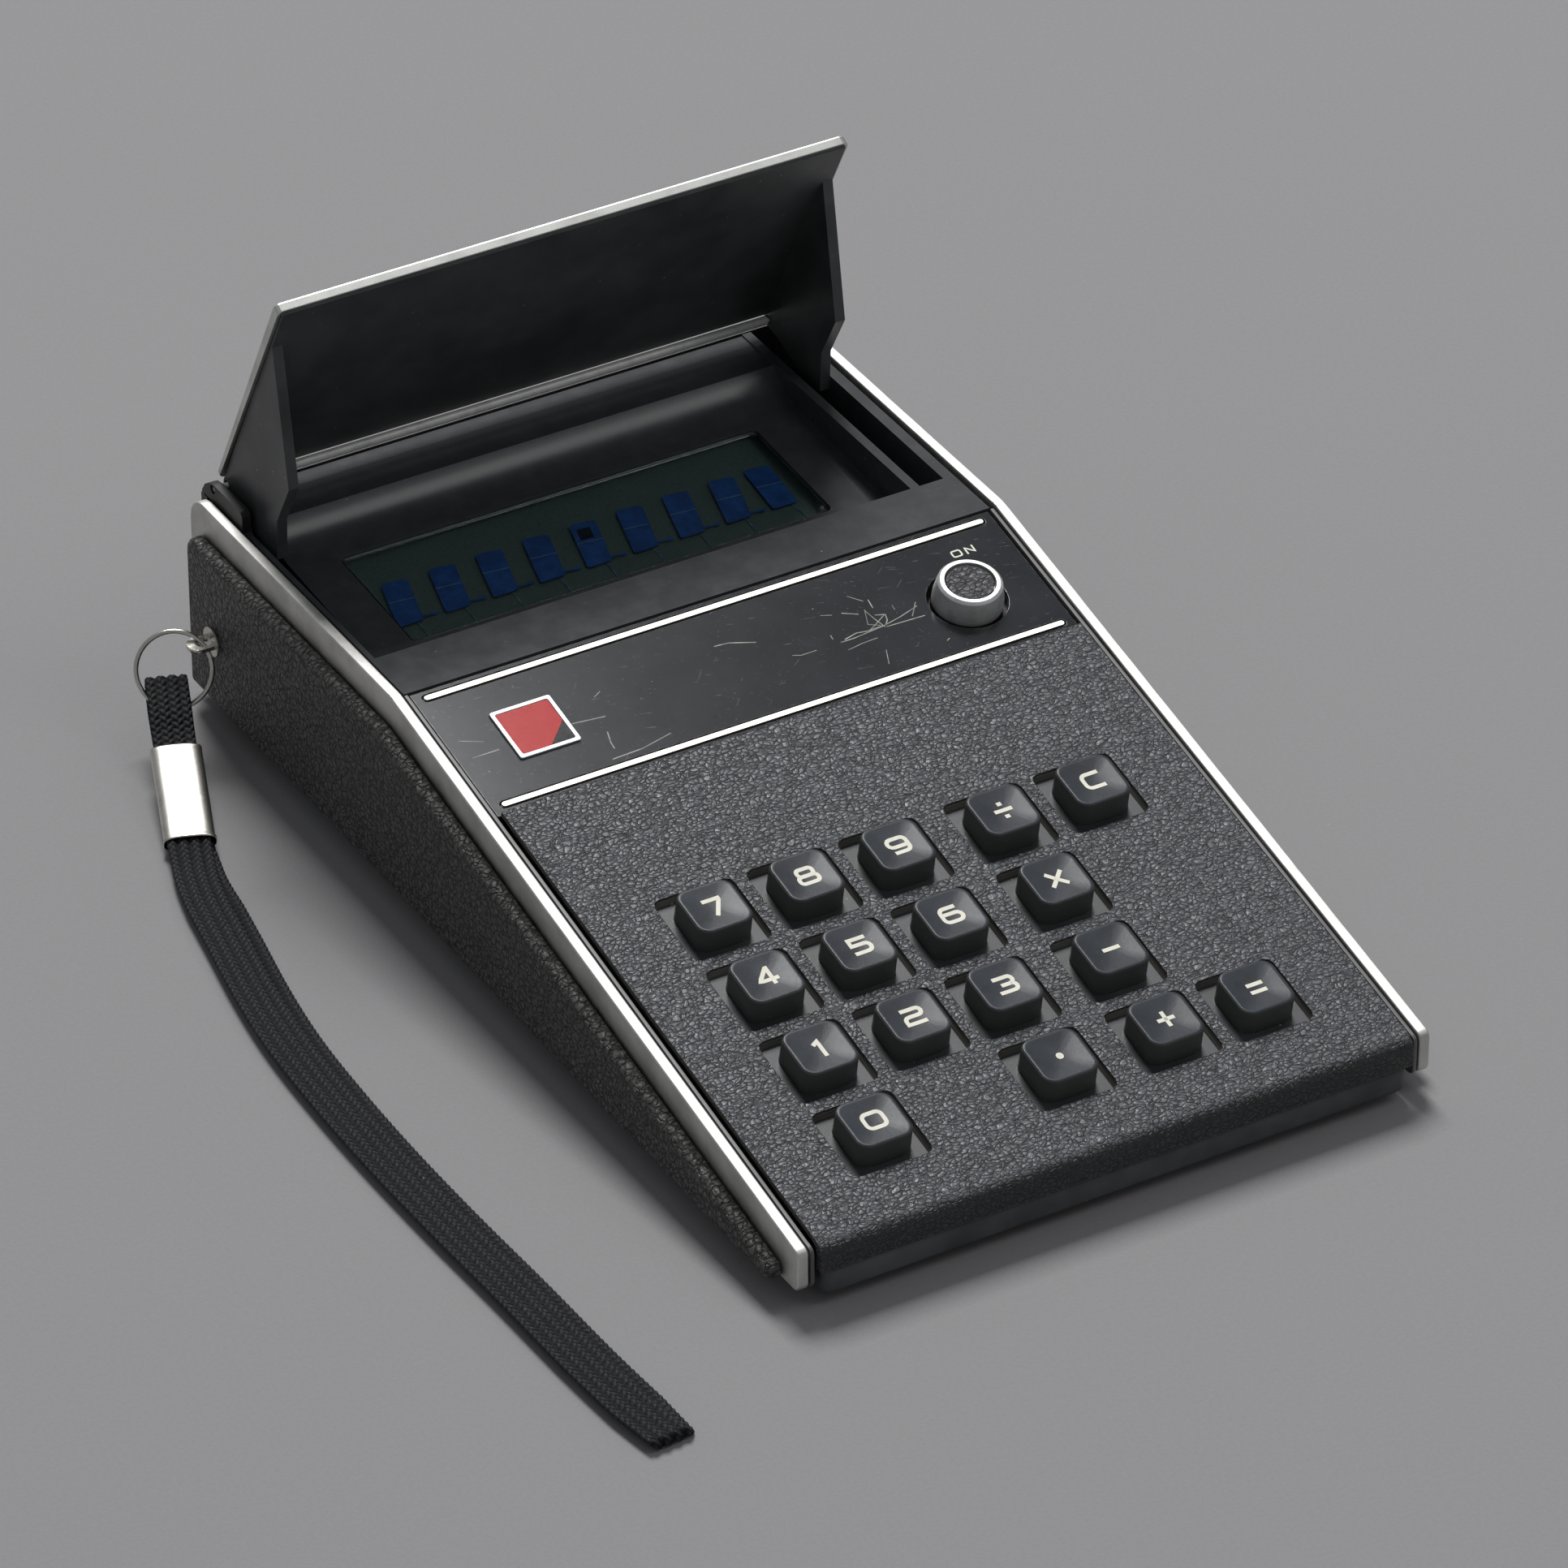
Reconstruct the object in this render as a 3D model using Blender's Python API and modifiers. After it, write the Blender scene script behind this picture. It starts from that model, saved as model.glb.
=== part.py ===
"""Hand-held electronic calculator with a fold-down display lid and a flat wrist strap.

World frame: X to the right, Y to the rear, Z up, in metres. The origin lies on the table under the middle
of the body. The keypad is a plane that slopes down to the front from the bend line of the side rails.
Places on it are given as x, s and h: s runs to the rear along the slope, h stands square to it.
The lid rests open, leaning forward over the display, as in use.
"""

from math import acos, asin, atan2, cos, pi, radians, sin, tan

import bmesh
import bpy
from mathutils import Matrix, Vector

MM = 0.001
GAP = 0.3 * MM
OVERRUN = 1.0 * MM
WELD = 0.001 * MM
ARC_STEPS = 4
ROUND_SIDES = 20
FINE_SIDES = 32
SMOOTH_ANGLE = radians(35)
BEVEL_ANGLE = radians(50)
FLAT_ANGLE = radians(1)
END_SHARE = 0.9

# Body as a whole
BODY_LENGTH = 179.8 * MM
BODY_WIDTH = 108.0 * MM
DECK_HEIGHT = 34.5 * MM
DECK_LENGTH = 62.8 * MM
FRONT_HEIGHT = 10.06 * MM
FOOT_HEIGHT = 1.6 * MM
REAR_Y = BODY_LENGTH / 2
FRONT_Y = -BODY_LENGTH / 2
BEND_Y = REAR_Y - DECK_LENGTH
KEYPAD_SLOPE = atan2(DECK_HEIGHT - FRONT_HEIGHT, BEND_Y - FRONT_Y)
CASE_BOTTOM = FOOT_HEIGHT + GAP

# Side rails and side covers
RAIL_THICKNESS = 1.8 * MM
RAIL_RISE = 1.6 * MM
RAIL_FRONT_INSET = 1.0 * MM
RAIL_REAR_INSET = 0.2 * MM
RAIL_CORNER = 1.2 * MM
RAIL_REAR_CORNER = 4.0 * MM
RAIL_BEND_RADIUS = 8.0 * MM
RAIL_EDGE = 0.3 * MM
SIDE_COVER_THICKNESS = 2.2 * MM
SIDE_COVER_DROP = 4.8 * MM
SIDE_COVER_RISE = 0.1 * MM
SIDE_COVER_REAR_INSET = 3.0 * MM
SIDE_COVER_FRONT_INSET = 4.9 * MM
SIDE_COVER_CORNER = 1.2 * MM
SIDE_COVER_REAR_CORNER = 2.4 * MM
SIDE_COVER_EDGE = 1.1 * MM
RAIL_OUTER_X = BODY_WIDTH / 2 - SIDE_COVER_THICKNESS - GAP
RAIL_INNER_X = RAIL_OUTER_X - RAIL_THICKNESS
RAIL_BOTTOM = CASE_BOTTOM + RAIL_RISE
LINER_THICKNESS = 0.6 * MM
LINER_DROP = 0.3 * MM
CASE_SIDE_GAP = 1.2 * MM
LINER_OUTER_X = RAIL_INNER_X - GAP
LINER_INNER_X = LINER_OUTER_X - LINER_THICKNESS
CASE_HALF = LINER_INNER_X - CASE_SIDE_GAP

# Layers of the keypad, each measured square to it
COVER_RISE = 0.5 * MM
COVER_WALL = 0.9 * MM
COVER_SIDE_GAP = 0.6 * MM
COVER_FRONT_WALL = 1.6 * MM
COVER_FRONT_RADIUS = 2.5 * MM
COVER_REAR_S = -27.4 * MM
SEAM_HEIGHT = 6.0 * MM
FRAME_WALL = 1.2 * MM
FRAME_FRONT_MARGIN = 8.7 * MM
FRAME_REAR_MARGIN = 1.1 * MM
FRAME_CORNER = 1.0 * MM
COVER_HALF = LINER_INNER_X - COVER_SIDE_GAP
FRAME_TOP = COVER_RISE - COVER_WALL - GAP
FRAME_BOTTOM = FRAME_TOP - FRAME_WALL
FRAME_HALF = CASE_HALF

# Keys
KEY_PITCH = 15.0 * MM
COLUMNS_SHIFT = 0.2 * MM
OPERATOR_SHIFT = 2.4 * MM
OPERATOR_COLUMN = 3
KEY_FIRST_S = -58.3 * MM
KEY_TOP = 3.3 * MM
KEY_TOP_WIDTH = 8.2 * MM
KEY_BASE_WIDTH = 8.7 * MM
KEY_TOP_RADIUS = 0.5 * MM
KEY_DISH = 0.2 * MM
KEY_DISH_SHARES = ((0.5, 0.75), (0.125, 1.0))
KEY_CORNER = 2.3 * MM
KEY_CORNER_STEPS = 2
KEY_FLANGE_REACH = 0.65 * MM
KEY_FLANGE = 0.6 * MM
KEY_STEM_WIDTH = 4.0 * MM
KEY_STEM = 0.4 * MM
KEY_TRAVEL = 1.5 * MM
RECESS_WIDTH = 12.9 * MM
RECESS_CORNER = 1.2 * MM
FRAME_HOLE_WIDTH = KEY_BASE_WIDTH + 2 * GAP
KEY_ROWS = (
    ("key_7", "key_8", "key_9", "key_divide", "key_clear"),
    ("key_4", "key_5", "key_6", "key_multiply", None),
    ("key_1", "key_2", "key_3", "key_minus", None),
    ("key_0", None, "key_point", "key_plus", "key_equals"),
)
KEY_LEFT_X = COLUMNS_SHIFT - (KEY_PITCH * (len(KEY_ROWS[0]) - 1) + OPERATOR_SHIFT) / 2
KEY_LAST_S = KEY_FIRST_S - KEY_PITCH * (len(KEY_ROWS) - 1)
KEY_FLANGE_TOP = FRAME_BOTTOM - GAP
KEY_STEM_BOTTOM = KEY_FLANGE_TOP - KEY_FLANGE - KEY_STEM

# Contact mat and boards
PAD_WIDTH = 6.0 * MM
PAD_HEIGHT = 0.6 * MM
PAD_SIDES = 12
MAT_WALL = 0.5 * MM
MAT_MARGIN = 7.0 * MM
BOARD_WALL = 1.2 * MM
BOARD_SIDE_INSET = 2.0 * MM
POST_RADIUS = 2.0 * MM
POST_INSET = 4.0 * MM
PAD_TOP = KEY_STEM_BOTTOM - KEY_TRAVEL - GAP
MAT_TOP = PAD_TOP - PAD_HEIGHT
MAT_BOTTOM = MAT_TOP - MAT_WALL
KEYBOARD_TOP = MAT_BOTTOM - GAP
KEYBOARD_BOTTOM = KEYBOARD_TOP - BOARD_WALL
FRAME_FRONT_S = KEY_LAST_S - FRAME_FRONT_MARGIN
FRAME_REAR_S = COVER_REAR_S - FRAME_REAR_MARGIN
MAT_FRONT_S = KEY_LAST_S - MAT_MARGIN
MAT_REAR_S = KEY_FIRST_S + MAT_MARGIN
MAT_LEFT_X = KEY_LEFT_X - MAT_MARGIN
MAT_RIGHT_X = KEY_LEFT_X + KEY_PITCH * (len(KEY_ROWS[0]) - 1) + OPERATOR_SHIFT + MAT_MARGIN

# Bottom case
FLOOR_WALL = 1.6 * MM
CASE_WALL = 1.6 * MM
CASE_FRONT_INSET = 0.4 * MM
CASE_EDGE = 0.8 * MM
CASE_CORNER = 1.5 * MM
PARTITION_WALL = 1.0 * MM
MAIN_BOARD_LENGTH = 64.0 * MM
MAIN_BOARD_SIDE_GAP = 2.0 * MM
MAIN_BOARD_RISE = 4.5 * MM
MAIN_BOARD_REAR = 4.0 * MM
CHIP_HEIGHT = 2.4 * MM
CHIP_WIDTH = 14.0 * MM
CHIP_LENGTH = 30.0 * MM
CHIP_Y = -6.0 * MM
FLOOR_TOP = CASE_BOTTOM + FLOOR_WALL
MAIN_BOARD_WIDTH = 2 * (CASE_HALF - CASE_WALL - MAIN_BOARD_SIDE_GAP)
MAIN_BOARD_BOTTOM = FLOOR_TOP + MAIN_BOARD_RISE
MAIN_BOARD_TOP = MAIN_BOARD_BOTTOM + BOARD_WALL
MAIN_BOARD_REAR_Y = BEND_Y - MAIN_BOARD_REAR
MAIN_BOARD_FRONT_Y = MAIN_BOARD_REAR_Y - MAIN_BOARD_LENGTH

# Feet and screws
FOOT_RADIUS = 4.0 * MM
FOOT_INSET = 7.6 * MM
FOOT_FRONT_INSET = 12.0 * MM
FOOT_REAR_INSET = 12.0 * MM
FOOT_STRIP_WIDTH = 6.0 * MM
FOOT_STRIP_HALF = 38.0 * MM
SCREW_RADIUS = 1.1 * MM
SCREW_HEAD_RADIUS = 2.2 * MM
SCREW_HEAD = 0.7 * MM
SCREW_INSET = 38.0 * MM
SCREW_LENGTH = 5.0 * MM
BOSS_WALL = 1.4 * MM
SCREW_Y = FRONT_Y + SCREW_INSET
SCREW_TOP = CASE_BOTTOM + SCREW_LENGTH

# Cells, contacts and door
CELL_RADIUS = 7.25 * MM
CELL_LENGTH = 50.5 * MM
CELL_NUB = 1.0 * MM
CELL_NUB_RADIUS = 2.7 * MM
CELL_COUNT = 4
CELL_EDGE = 0.8 * MM
CONTACT_WALL = 0.4 * MM
CONTACT_WIDTH = 11.0 * MM
DOOR_HALF = 31.0 * MM
DOOR_TONGUE = 2.0 * MM
DOOR_WALL = 0.8 * MM
CELL_PITCH = 2 * CELL_RADIUS + GAP
DOOR_TONGUE_BOTTOM = FLOOR_TOP + GAP
DOOR_TOP = DOOR_TONGUE_BOTTOM + DOOR_WALL
CELL_BOTTOM = DOOR_TOP + GAP
CELL_TOP = CELL_BOTTOM + 2 * CELL_RADIUS

# Rear cover
REAR_WALL = 1.9 * MM
REAR_COVER_SIDE_GAP = 0.3 * MM
REAR_COVER_DROP = 0.6 * MM
EAR_WALL = 1.4 * MM
EAR_LENGTH = 13.2 * MM
EAR_RISE = 2.8 * MM
EAR_CORNER = 4.5 * MM
EAR_FRONT_CORNER = 1.0 * MM
EAR_SEAT = 0.3 * MM
EAR_JOIN = 5.0 * MM
REAR_COVER_HALF = RAIL_INNER_X - REAR_COVER_SIDE_GAP
REAR_INNER_Y = REAR_Y - REAR_WALL
REAR_COVER_BOTTOM = DOOR_TOP + GAP
REAR_COVER_TOP = DECK_HEIGHT - REAR_COVER_DROP
CELL_REAR_Y = REAR_INNER_Y - GAP - CONTACT_WALL - GAP
CELL_FRONT_Y = CELL_REAR_Y - CELL_LENGTH
PARTITION_REAR_Y = CELL_FRONT_Y - GAP - CONTACT_WALL - GAP

# Display bezel: a well with a sloping floor, a concave cove behind it and a slot for each lid cheek
BEZEL_SIDE_GAP = 0.6 * MM
BEZEL_DROP = 0.6 * MM
BEZEL_DEPTH = 17.0 * MM
BEZEL_BAND = 10.6 * MM
BEZEL_BAND_WALL = 1.8 * MM
BEZEL_WALL = 0.8 * MM
BEZEL_FRONT_WALL = 1.2 * MM
WELL_DEPTH = 7.0 * MM
WELL_TILT = 0.067
WELL_LENGTH = 32.9 * MM
WELL_LEFT_BAND = 0.8 * MM
WELL_RIGHT_BAND = 7.4 * MM
HOLLOW_LEFT_BAND = 4.9 * MM
COVE_LENGTH = 7.5 * MM
LEDGE_DROP = 0.9 * MM
SLOT_DEPTH = 16.0 * MM
SLOT_CLEARANCE = 0.3 * MM
RIGHT_SLOT_WIDTH = 4.1 * MM
LEFT_SLOT_WIDTH = 2.6 * MM
WINDOW_LEFT_INSET = 10.9 * MM
WINDOW_RIGHT_INSET = 8.2 * MM
WINDOW_FRONT = 19.3 * MM
WINDOW_LENGTH = 23.25 * MM
WINDOW_CORNER = 1.0 * MM
GLASS_WALL = 0.8 * MM
GLASS_DROP = 0.25 * MM
DIGIT_COUNT = 9
DIGIT_FIRST_INSET = 4.44 * MM
DIGIT_LAST_INSET = 3.82 * MM
DIGIT_CENTRE_Y = 30.95 * MM
DIGIT_WIDTH = 5.0 * MM
DIGIT_LENGTH = 8.5 * MM
DIGIT_RISE = 0.5 * MM
BACKING_WALL = 1.0 * MM
BACKING_MARGIN = 2.0 * MM
BEZEL_HALF = RAIL_INNER_X - BEZEL_SIDE_GAP
WELL_LEFT_X = WELL_LEFT_BAND - BEZEL_HALF
WELL_RIGHT_X = BEZEL_HALF - WELL_RIGHT_BAND
HOLLOW_LEFT_X = HOLLOW_LEFT_BAND - BEZEL_HALF
WINDOW_LEFT_X = WELL_LEFT_X + WINDOW_LEFT_INSET
WINDOW_RIGHT_X = WELL_RIGHT_X - WINDOW_RIGHT_INSET
DIGIT_FIRST_X = WINDOW_LEFT_X + DIGIT_FIRST_INSET
DIGIT_PITCH = (WINDOW_RIGHT_X - DIGIT_LAST_INSET - DIGIT_FIRST_X) / (DIGIT_COUNT - 1)
BEZEL_TOP = DECK_HEIGHT - BEZEL_DROP
BEZEL_BOTTOM = DECK_HEIGHT - BEZEL_DEPTH
BEZEL_FRONT_Y = BEND_Y + GAP
BEZEL_REAR_Y = REAR_INNER_Y - GAP
WELL_FRONT_Y = BEND_Y + BEZEL_BAND
WELL_REAR_Y = WELL_FRONT_Y + WELL_LENGTH
WELL_FRONT_Z = DECK_HEIGHT - WELL_DEPTH
WELL_REAR_Z = WELL_FRONT_Z + WELL_TILT * WELL_LENGTH
LEDGE_Z = DECK_HEIGHT - LEDGE_DROP
SLOT_BOTTOM = DECK_HEIGHT - SLOT_DEPTH

# Name plate, stripes, badge and button
PLATE_HALF = LINER_INNER_X - GAP
PLATE_SEAM = 0.2 * MM
PLATE_FRONT_S = COVER_REAR_S + PLATE_SEAM
PLATE_REAR_S = -GAP
PLATE_SURFACE = -0.7 * MM
PLATE_WALL = 1.5 * MM
STRIPE_WIDTH = 0.9 * MM
STRIPE_END_INSET = 1.7 * MM
STRIPE_INSET = 1.5 * MM
STRIPE_PROUD = 0.1 * MM
INLAY_WALL = 0.3 * MM
BUTTON_SIDE_INSET = 12.3 * MM
BUTTON_S = -15.35 * MM
BUTTON_TOP = 3.0 * MM
BUTTON_TOP_RADIUS = 4.9 * MM
BUTTON_BASE_RADIUS = 5.35 * MM
BUTTON_RIM = 1.05 * MM
BUTTON_EDGE = 0.4 * MM
BUTTON_SKIRT = 2.4 * MM
BUTTON_HOLE_RADIUS = 6.1 * MM
BUTTON_FLANGE_RADIUS = 7.0 * MM
BUTTON_FLANGE = 0.8 * MM
BUTTON_TRAVEL = 2.0 * MM
BUTTON_FLOOR = 1.2 * MM
INSERT_WALL = 0.8 * MM
INSERT_DROP = 0.25 * MM
SPRING_WIRE = 0.25 * MM
SPRING_TURNS = 4
SPRING_POINTS = 8
SPRING_CLEARANCE = 0.8 * MM
SWITCH_WIDTH = 12.0 * MM
SWITCH_DEPTH = 9.0 * MM
PLATE_BOTTOM = PLATE_SURFACE - PLATE_WALL
STRIPE_HALF = PLATE_HALF - STRIPE_END_INSET
BUTTON_X = PLATE_HALF - BUTTON_SIDE_INSET
BUTTON_FLANGE_TOP = PLATE_BOTTOM - GAP
BUTTON_BOTTOM = BUTTON_FLANGE_TOP - BUTTON_FLANGE
SWITCH_TOP = BUTTON_BOTTOM - BUTTON_TRAVEL - GAP

# Lid: places on it are a, along the lid from the hinge to its free edge, and b, square to it, inwards
HINGE_INSET = 3.8 * MM
HINGE_RISE = 1.8 * MM
LID_CLOSED_TILT = radians(2.6)
LID_TRAVEL = radians(65.5)
LID_LENGTH = 45.4 * MM
LID_THICKNESS = 2.0 * MM
LID_PLATE_WALL = 0.9 * MM
LID_OFFSET = 2.33 * MM
LID_BODY_START = 1.2 * MM
LID_HEEL = 0.07 * MM
LID_EDGE_INSET = 0.4 * MM
LID_EDGE = 0.25 * MM
CHEEK_WALL = 1.7 * MM
CHEEK_INSET = 0.7 * MM
CHEEK_FOOT = 3.94 * MM
CHEEK_HEEL = (0.5 * MM, 10.4 * MM)
CHEEK_TIP = (3.33 * MM, 15.93 * MM)
CHEEK_STEP = (5.6 * MM, 14.88 * MM)
CHEEK_NOTCH = (9.6 * MM, 13.05 * MM)
CHEEK_KNEE = (18.27 * MM, 13.28 * MM)
CHEEK_END = 36.5 * MM
ROD_RADIUS = 0.7 * MM
ROD_PIN_RADIUS = 0.45 * MM
HINGE_Y = REAR_Y - HINGE_INSET
HINGE_Z = DECK_HEIGHT + HINGE_RISE
LID_PLATE_OUTER_B = -LID_OFFSET
LID_PLATE_INNER_B = LID_PLATE_OUTER_B + LID_PLATE_WALL
LID_BODY_OUTER_B = LID_PLATE_INNER_B + GAP
LID_BODY_INNER_B = LID_PLATE_OUTER_B + LID_THICKNESS
PIN_HOLE_RADIUS = ROD_PIN_RADIUS + GAP
EAR_INNER_X = REAR_COVER_HALF - EAR_WALL
LID_HALF = EAR_INNER_X - GAP
CHEEK_OUTER_X = LID_HALF - CHEEK_INSET
CHEEK_INNER_X = CHEEK_OUTER_X - CHEEK_WALL
SLOT_OUTER_X = CHEEK_OUTER_X + SLOT_CLEARANCE
LID_REST_TILT = LID_CLOSED_TILT - LID_TRAVEL

# Eyelet, ring, clamp and strap
EYELET_INSET = 11.8 * MM
EYELET_DROP = 18.8 * MM
EYELET_RADIUS = 2.35 * MM
EYELET_WALL = 0.35 * MM
TAB_LENGTH = 4.4 * MM
TAB_HALF = 1.8 * MM
TAB_WALL = 0.7 * MM
TAB_HOLE_RADIUS = 1.25 * MM
TAB_HOLE_REACH = 1.9 * MM
RING_RADIUS = 5.675 * MM
RING_WIRE = 0.375 * MM
RING_DOWN = Vector((-0.835, 0.053, -0.547))
RING_AXIS = Vector((-0.415, -0.713, 0.566))
RING_STEPS = 28
STRAP_WIDTH = 6.8 * MM
STRAP_WALL = 0.85 * MM
STRAP_SPLAY = 2.2 * MM
STRAP_SPLAY_LENGTH = 20.0 * MM
STRAP_FOLD_LENGTH = 8.0 * MM
STRAP_STEPS = 44
STRAP_FOLD_STEPS = 6
BIGHT_WIDTH = 6.6 * MM
BIGHT_STEPS = 14
CLAMP_WALL = 0.3 * MM
CLAMP_LENGTH = 18.7 * MM
CLAMP_CORNER = 0.7 * MM
CLAMP_MOUTH = Vector((-72.47 * MM, 51.13 * MM, 1.84 * MM))
CLAMP_HEADING = radians(21.0)
CLAMP_TILT = radians(12.7)
LAYER_PITCH = STRAP_WALL + GAP
LAYERS_HEIGHT = LAYER_PITCH + STRAP_WALL
EYELET_Y = REAR_Y - EYELET_INSET
EYELET_Z = DECK_HEIGHT - EYELET_DROP
SIDE_X = BODY_WIDTH / 2
TAB_HOLE = Vector((-SIDE_X - TAB_HOLE_REACH, EYELET_Y, EYELET_Z))

# Middle line of the strap's two layers, from inside the clamp to the fold at its far end
STRAP_SPINE = (
    (-71.07 * MM, 54.77 * MM, 2.72 * MM),
    (-72.47 * MM, 51.13 * MM, 1.84 * MM),
    (-73.70 * MM, 47.00 * MM, 1.20 * MM),
    (-75.40 * MM, 41.00 * MM, 1.06 * MM),
    (-78.00 * MM, 27.00 * MM, 1.06 * MM),
    (-80.60 * MM, 13.00 * MM, 1.06 * MM),
    (-82.30 * MM, 0.00 * MM, 1.06 * MM),
    (-83.10 * MM, -14.00 * MM, 1.06 * MM),
    (-83.40 * MM, -30.00 * MM, 1.06 * MM),
    (-83.10 * MM, -48.00 * MM, 1.06 * MM),
    (-82.40 * MM, -66.00 * MM, 1.06 * MM),
    (-81.90 * MM, -84.00 * MM, 1.06 * MM),
    (-81.20 * MM, -96.00 * MM, 1.06 * MM),
    (-80.50 * MM, -104.60 * MM, 1.06 * MM),
)
# Middle line of the loop round the ring, along and square to the clamp, with half the space between its legs
BIGHT_SPINE = (
    (-4.0 * MM, 0.0 * MM, 0.575 * MM),
    (0.0 * MM, 0.0 * MM, 0.575 * MM),
    (3.0 * MM, 0.15 * MM, 0.9 * MM),
    (6.0 * MM, 0.45 * MM, 1.5 * MM),
    (8.8 * MM, 0.75 * MM, 1.75 * MM),
    (11.4 * MM, 1.6 * MM, 1.3 * MM),
)

PARTS = "calculator"
CUTTERS = "cutters"
KEYPAD = Matrix.Translation((0, BEND_Y, DECK_HEIGHT)) @ Matrix.Rotation(KEYPAD_SLOPE, 4, "X")
LID = Matrix.Translation((0, HINGE_Y, HINGE_Z)) @ Matrix.Rotation(LID_REST_TILT, 4, "X")
SIDE_TURN = Matrix(((0, 0, 1, 0), (1, 0, 0, 0), (0, 1, 0, 0), (0, 0, 0, 1)))
FRONT_TURN = Matrix(((1, 0, 0, 0), (0, 0, -1, 0), (0, 1, 0, 0), (0, 0, 0, 1)))
LYING_TURN = Matrix.Rotation(pi / 2, 4, "Y")
CLAMP = (
    Matrix.Translation(CLAMP_MOUTH)
    @ Matrix.Rotation(-CLAMP_HEADING, 4, "Z")
    @ Matrix.Rotation(CLAMP_TILT, 4, "X")
)


def clear_scene():
    for thing in list(bpy.data.objects):
        bpy.data.objects.remove(thing, do_unlink=True)


def new_collection(name):
    collection = bpy.data.collections.new(name)
    bpy.context.scene.collection.children.link(collection)
    return collection


def new_material(name, colour, roughness, metallic=0.0):
    material = bpy.data.materials.new(name)
    material.use_nodes = True
    shader = material.node_tree.nodes["Principled BSDF"]
    shader.inputs["Base Color"].default_value = (*colour, 1.0)
    shader.inputs["Roughness"].default_value = roughness
    shader.inputs["Metallic"].default_value = metallic
    return material


def keypad_point(x, s, h):
    return KEYPAD @ Vector((x, s, h))


def slope_z(y, h):
    """Height of the plane h above the keypad, over the world place y."""
    return DECK_HEIGHT + (y - BEND_Y) * tan(KEYPAD_SLOPE) + h / cos(KEYPAD_SLOPE)


def rounded(corners, steps=ARC_STEPS):
    """Outline points from corners of x, y and radius, each corner an arc."""
    points = []
    for i, (x, y, radius) in enumerate(corners):
        corner = Vector((x, y))
        if radius == 0:
            points.append(corner)
            continue
        before = (Vector(corners[i - 1][:2]) - corner).normalized()
        after = (Vector(corners[(i + 1) % len(corners)][:2]) - corner).normalized()
        half = acos(max(-1.0, min(1.0, before.dot(after)))) / 2
        centre = corner + (before + after).normalized() * (radius / sin(half))
        start = corner + before * (radius / tan(half)) - centre
        end = corner + after * (radius / tan(half)) - centre
        turn = atan2(start.x * end.y - start.y * end.x, start.dot(end))
        first = atan2(start.y, start.x)
        for k in range(steps + 1):
            angle = first + turn * k / steps
            points.append(centre + Vector((cos(angle), sin(angle))) * radius)
    return points


def rounded_rectangle(low_x, high_x, low_y, high_y, radius, steps=ARC_STEPS):
    corners = ((low_x, low_y), (high_x, low_y), (high_x, high_y), (low_x, high_y))
    return rounded([(x, y, radius) for x, y in corners], steps)


def circle(x, y, radius, sides=FINE_SIDES):
    angles = [2 * pi * i / sides for i in range(sides)]
    return [Vector((x + radius * cos(a), y + radius * sin(a))) for a in angles]


def filled(outlines, low, high):
    """Closed mesh of flat outlines between two heights; an outline inside another is a hole."""
    curve = bpy.data.curves.new("outline", "CURVE")
    curve.dimensions = "2D"
    curve.fill_mode = "BOTH"
    curve.extrude = (high - low) / 2
    for outline in outlines:
        spline = curve.splines.new("POLY")
        spline.points.add(len(outline) - 1)
        for point, place in zip(spline.points, outline):
            point.co = (place[0], place[1], 0, 1)
        spline.use_cyclic_u = True
    holder = bpy.data.objects.new("outline", curve)
    bpy.context.scene.collection.objects.link(holder)
    graph = bpy.context.evaluated_depsgraph_get()
    mesh = bpy.data.meshes.new_from_object(holder.evaluated_get(graph))
    bpy.data.objects.remove(holder)
    bpy.data.curves.remove(curve)
    shape = bmesh.new()
    shape.from_mesh(mesh)
    bmesh.ops.remove_doubles(shape, verts=shape.verts, dist=WELD)
    if len(outlines) == 1:
        bmesh.ops.dissolve_limit(shape, angle_limit=FLAT_ANGLE, verts=shape.verts, edges=shape.edges)
    bmesh.ops.recalc_face_normals(shape, faces=shape.faces)
    bmesh.ops.translate(shape, vec=(0, 0, (high + low) / 2), verts=shape.verts)
    shape.to_mesh(mesh)
    shape.free()
    return mesh


def side_plate(outline, low_x, high_x):
    """Closed mesh of an outline of y and z, between two places on X."""
    mesh = filled([outline], low_x, high_x)
    mesh.transform(SIDE_TURN)
    return mesh


def front_plate(outline, low_y, high_y):
    """Closed mesh of an outline of x and z, between two places on Y."""
    mesh = filled([outline], -high_y, -low_y)
    mesh.transform(FRONT_TURN)
    return mesh


def box(low, high):
    shape = bmesh.new()
    bmesh.ops.create_cube(shape, size=1.0)
    size = [b - a for a, b in zip(low, high)]
    middle = [(a + b) / 2 for a, b in zip(low, high)]
    bmesh.ops.scale(shape, vec=size, verts=shape.verts)
    bmesh.ops.translate(shape, vec=middle, verts=shape.verts)
    return finish_mesh(shape)


def rod(radius, low, high, sides=ROUND_SIDES, place=(0, 0)):
    """Upright round bar between two heights."""
    shape = bmesh.new()
    bmesh.ops.create_cone(
        shape, cap_ends=True, segments=sides, radius1=radius, radius2=radius, depth=high - low
    )
    bmesh.ops.translate(shape, vec=(place[0], place[1], (low + high) / 2), verts=shape.verts)
    return finish_mesh(shape)


def finish_mesh(shape):
    mesh = bpy.data.meshes.new("shape")
    shape.to_mesh(mesh)
    shape.free()
    return mesh


def joined(meshes):
    """One mesh that holds several separate solids."""
    shape = bmesh.new()
    for mesh in meshes:
        shape.from_mesh(mesh)
    return finish_mesh(shape)


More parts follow.
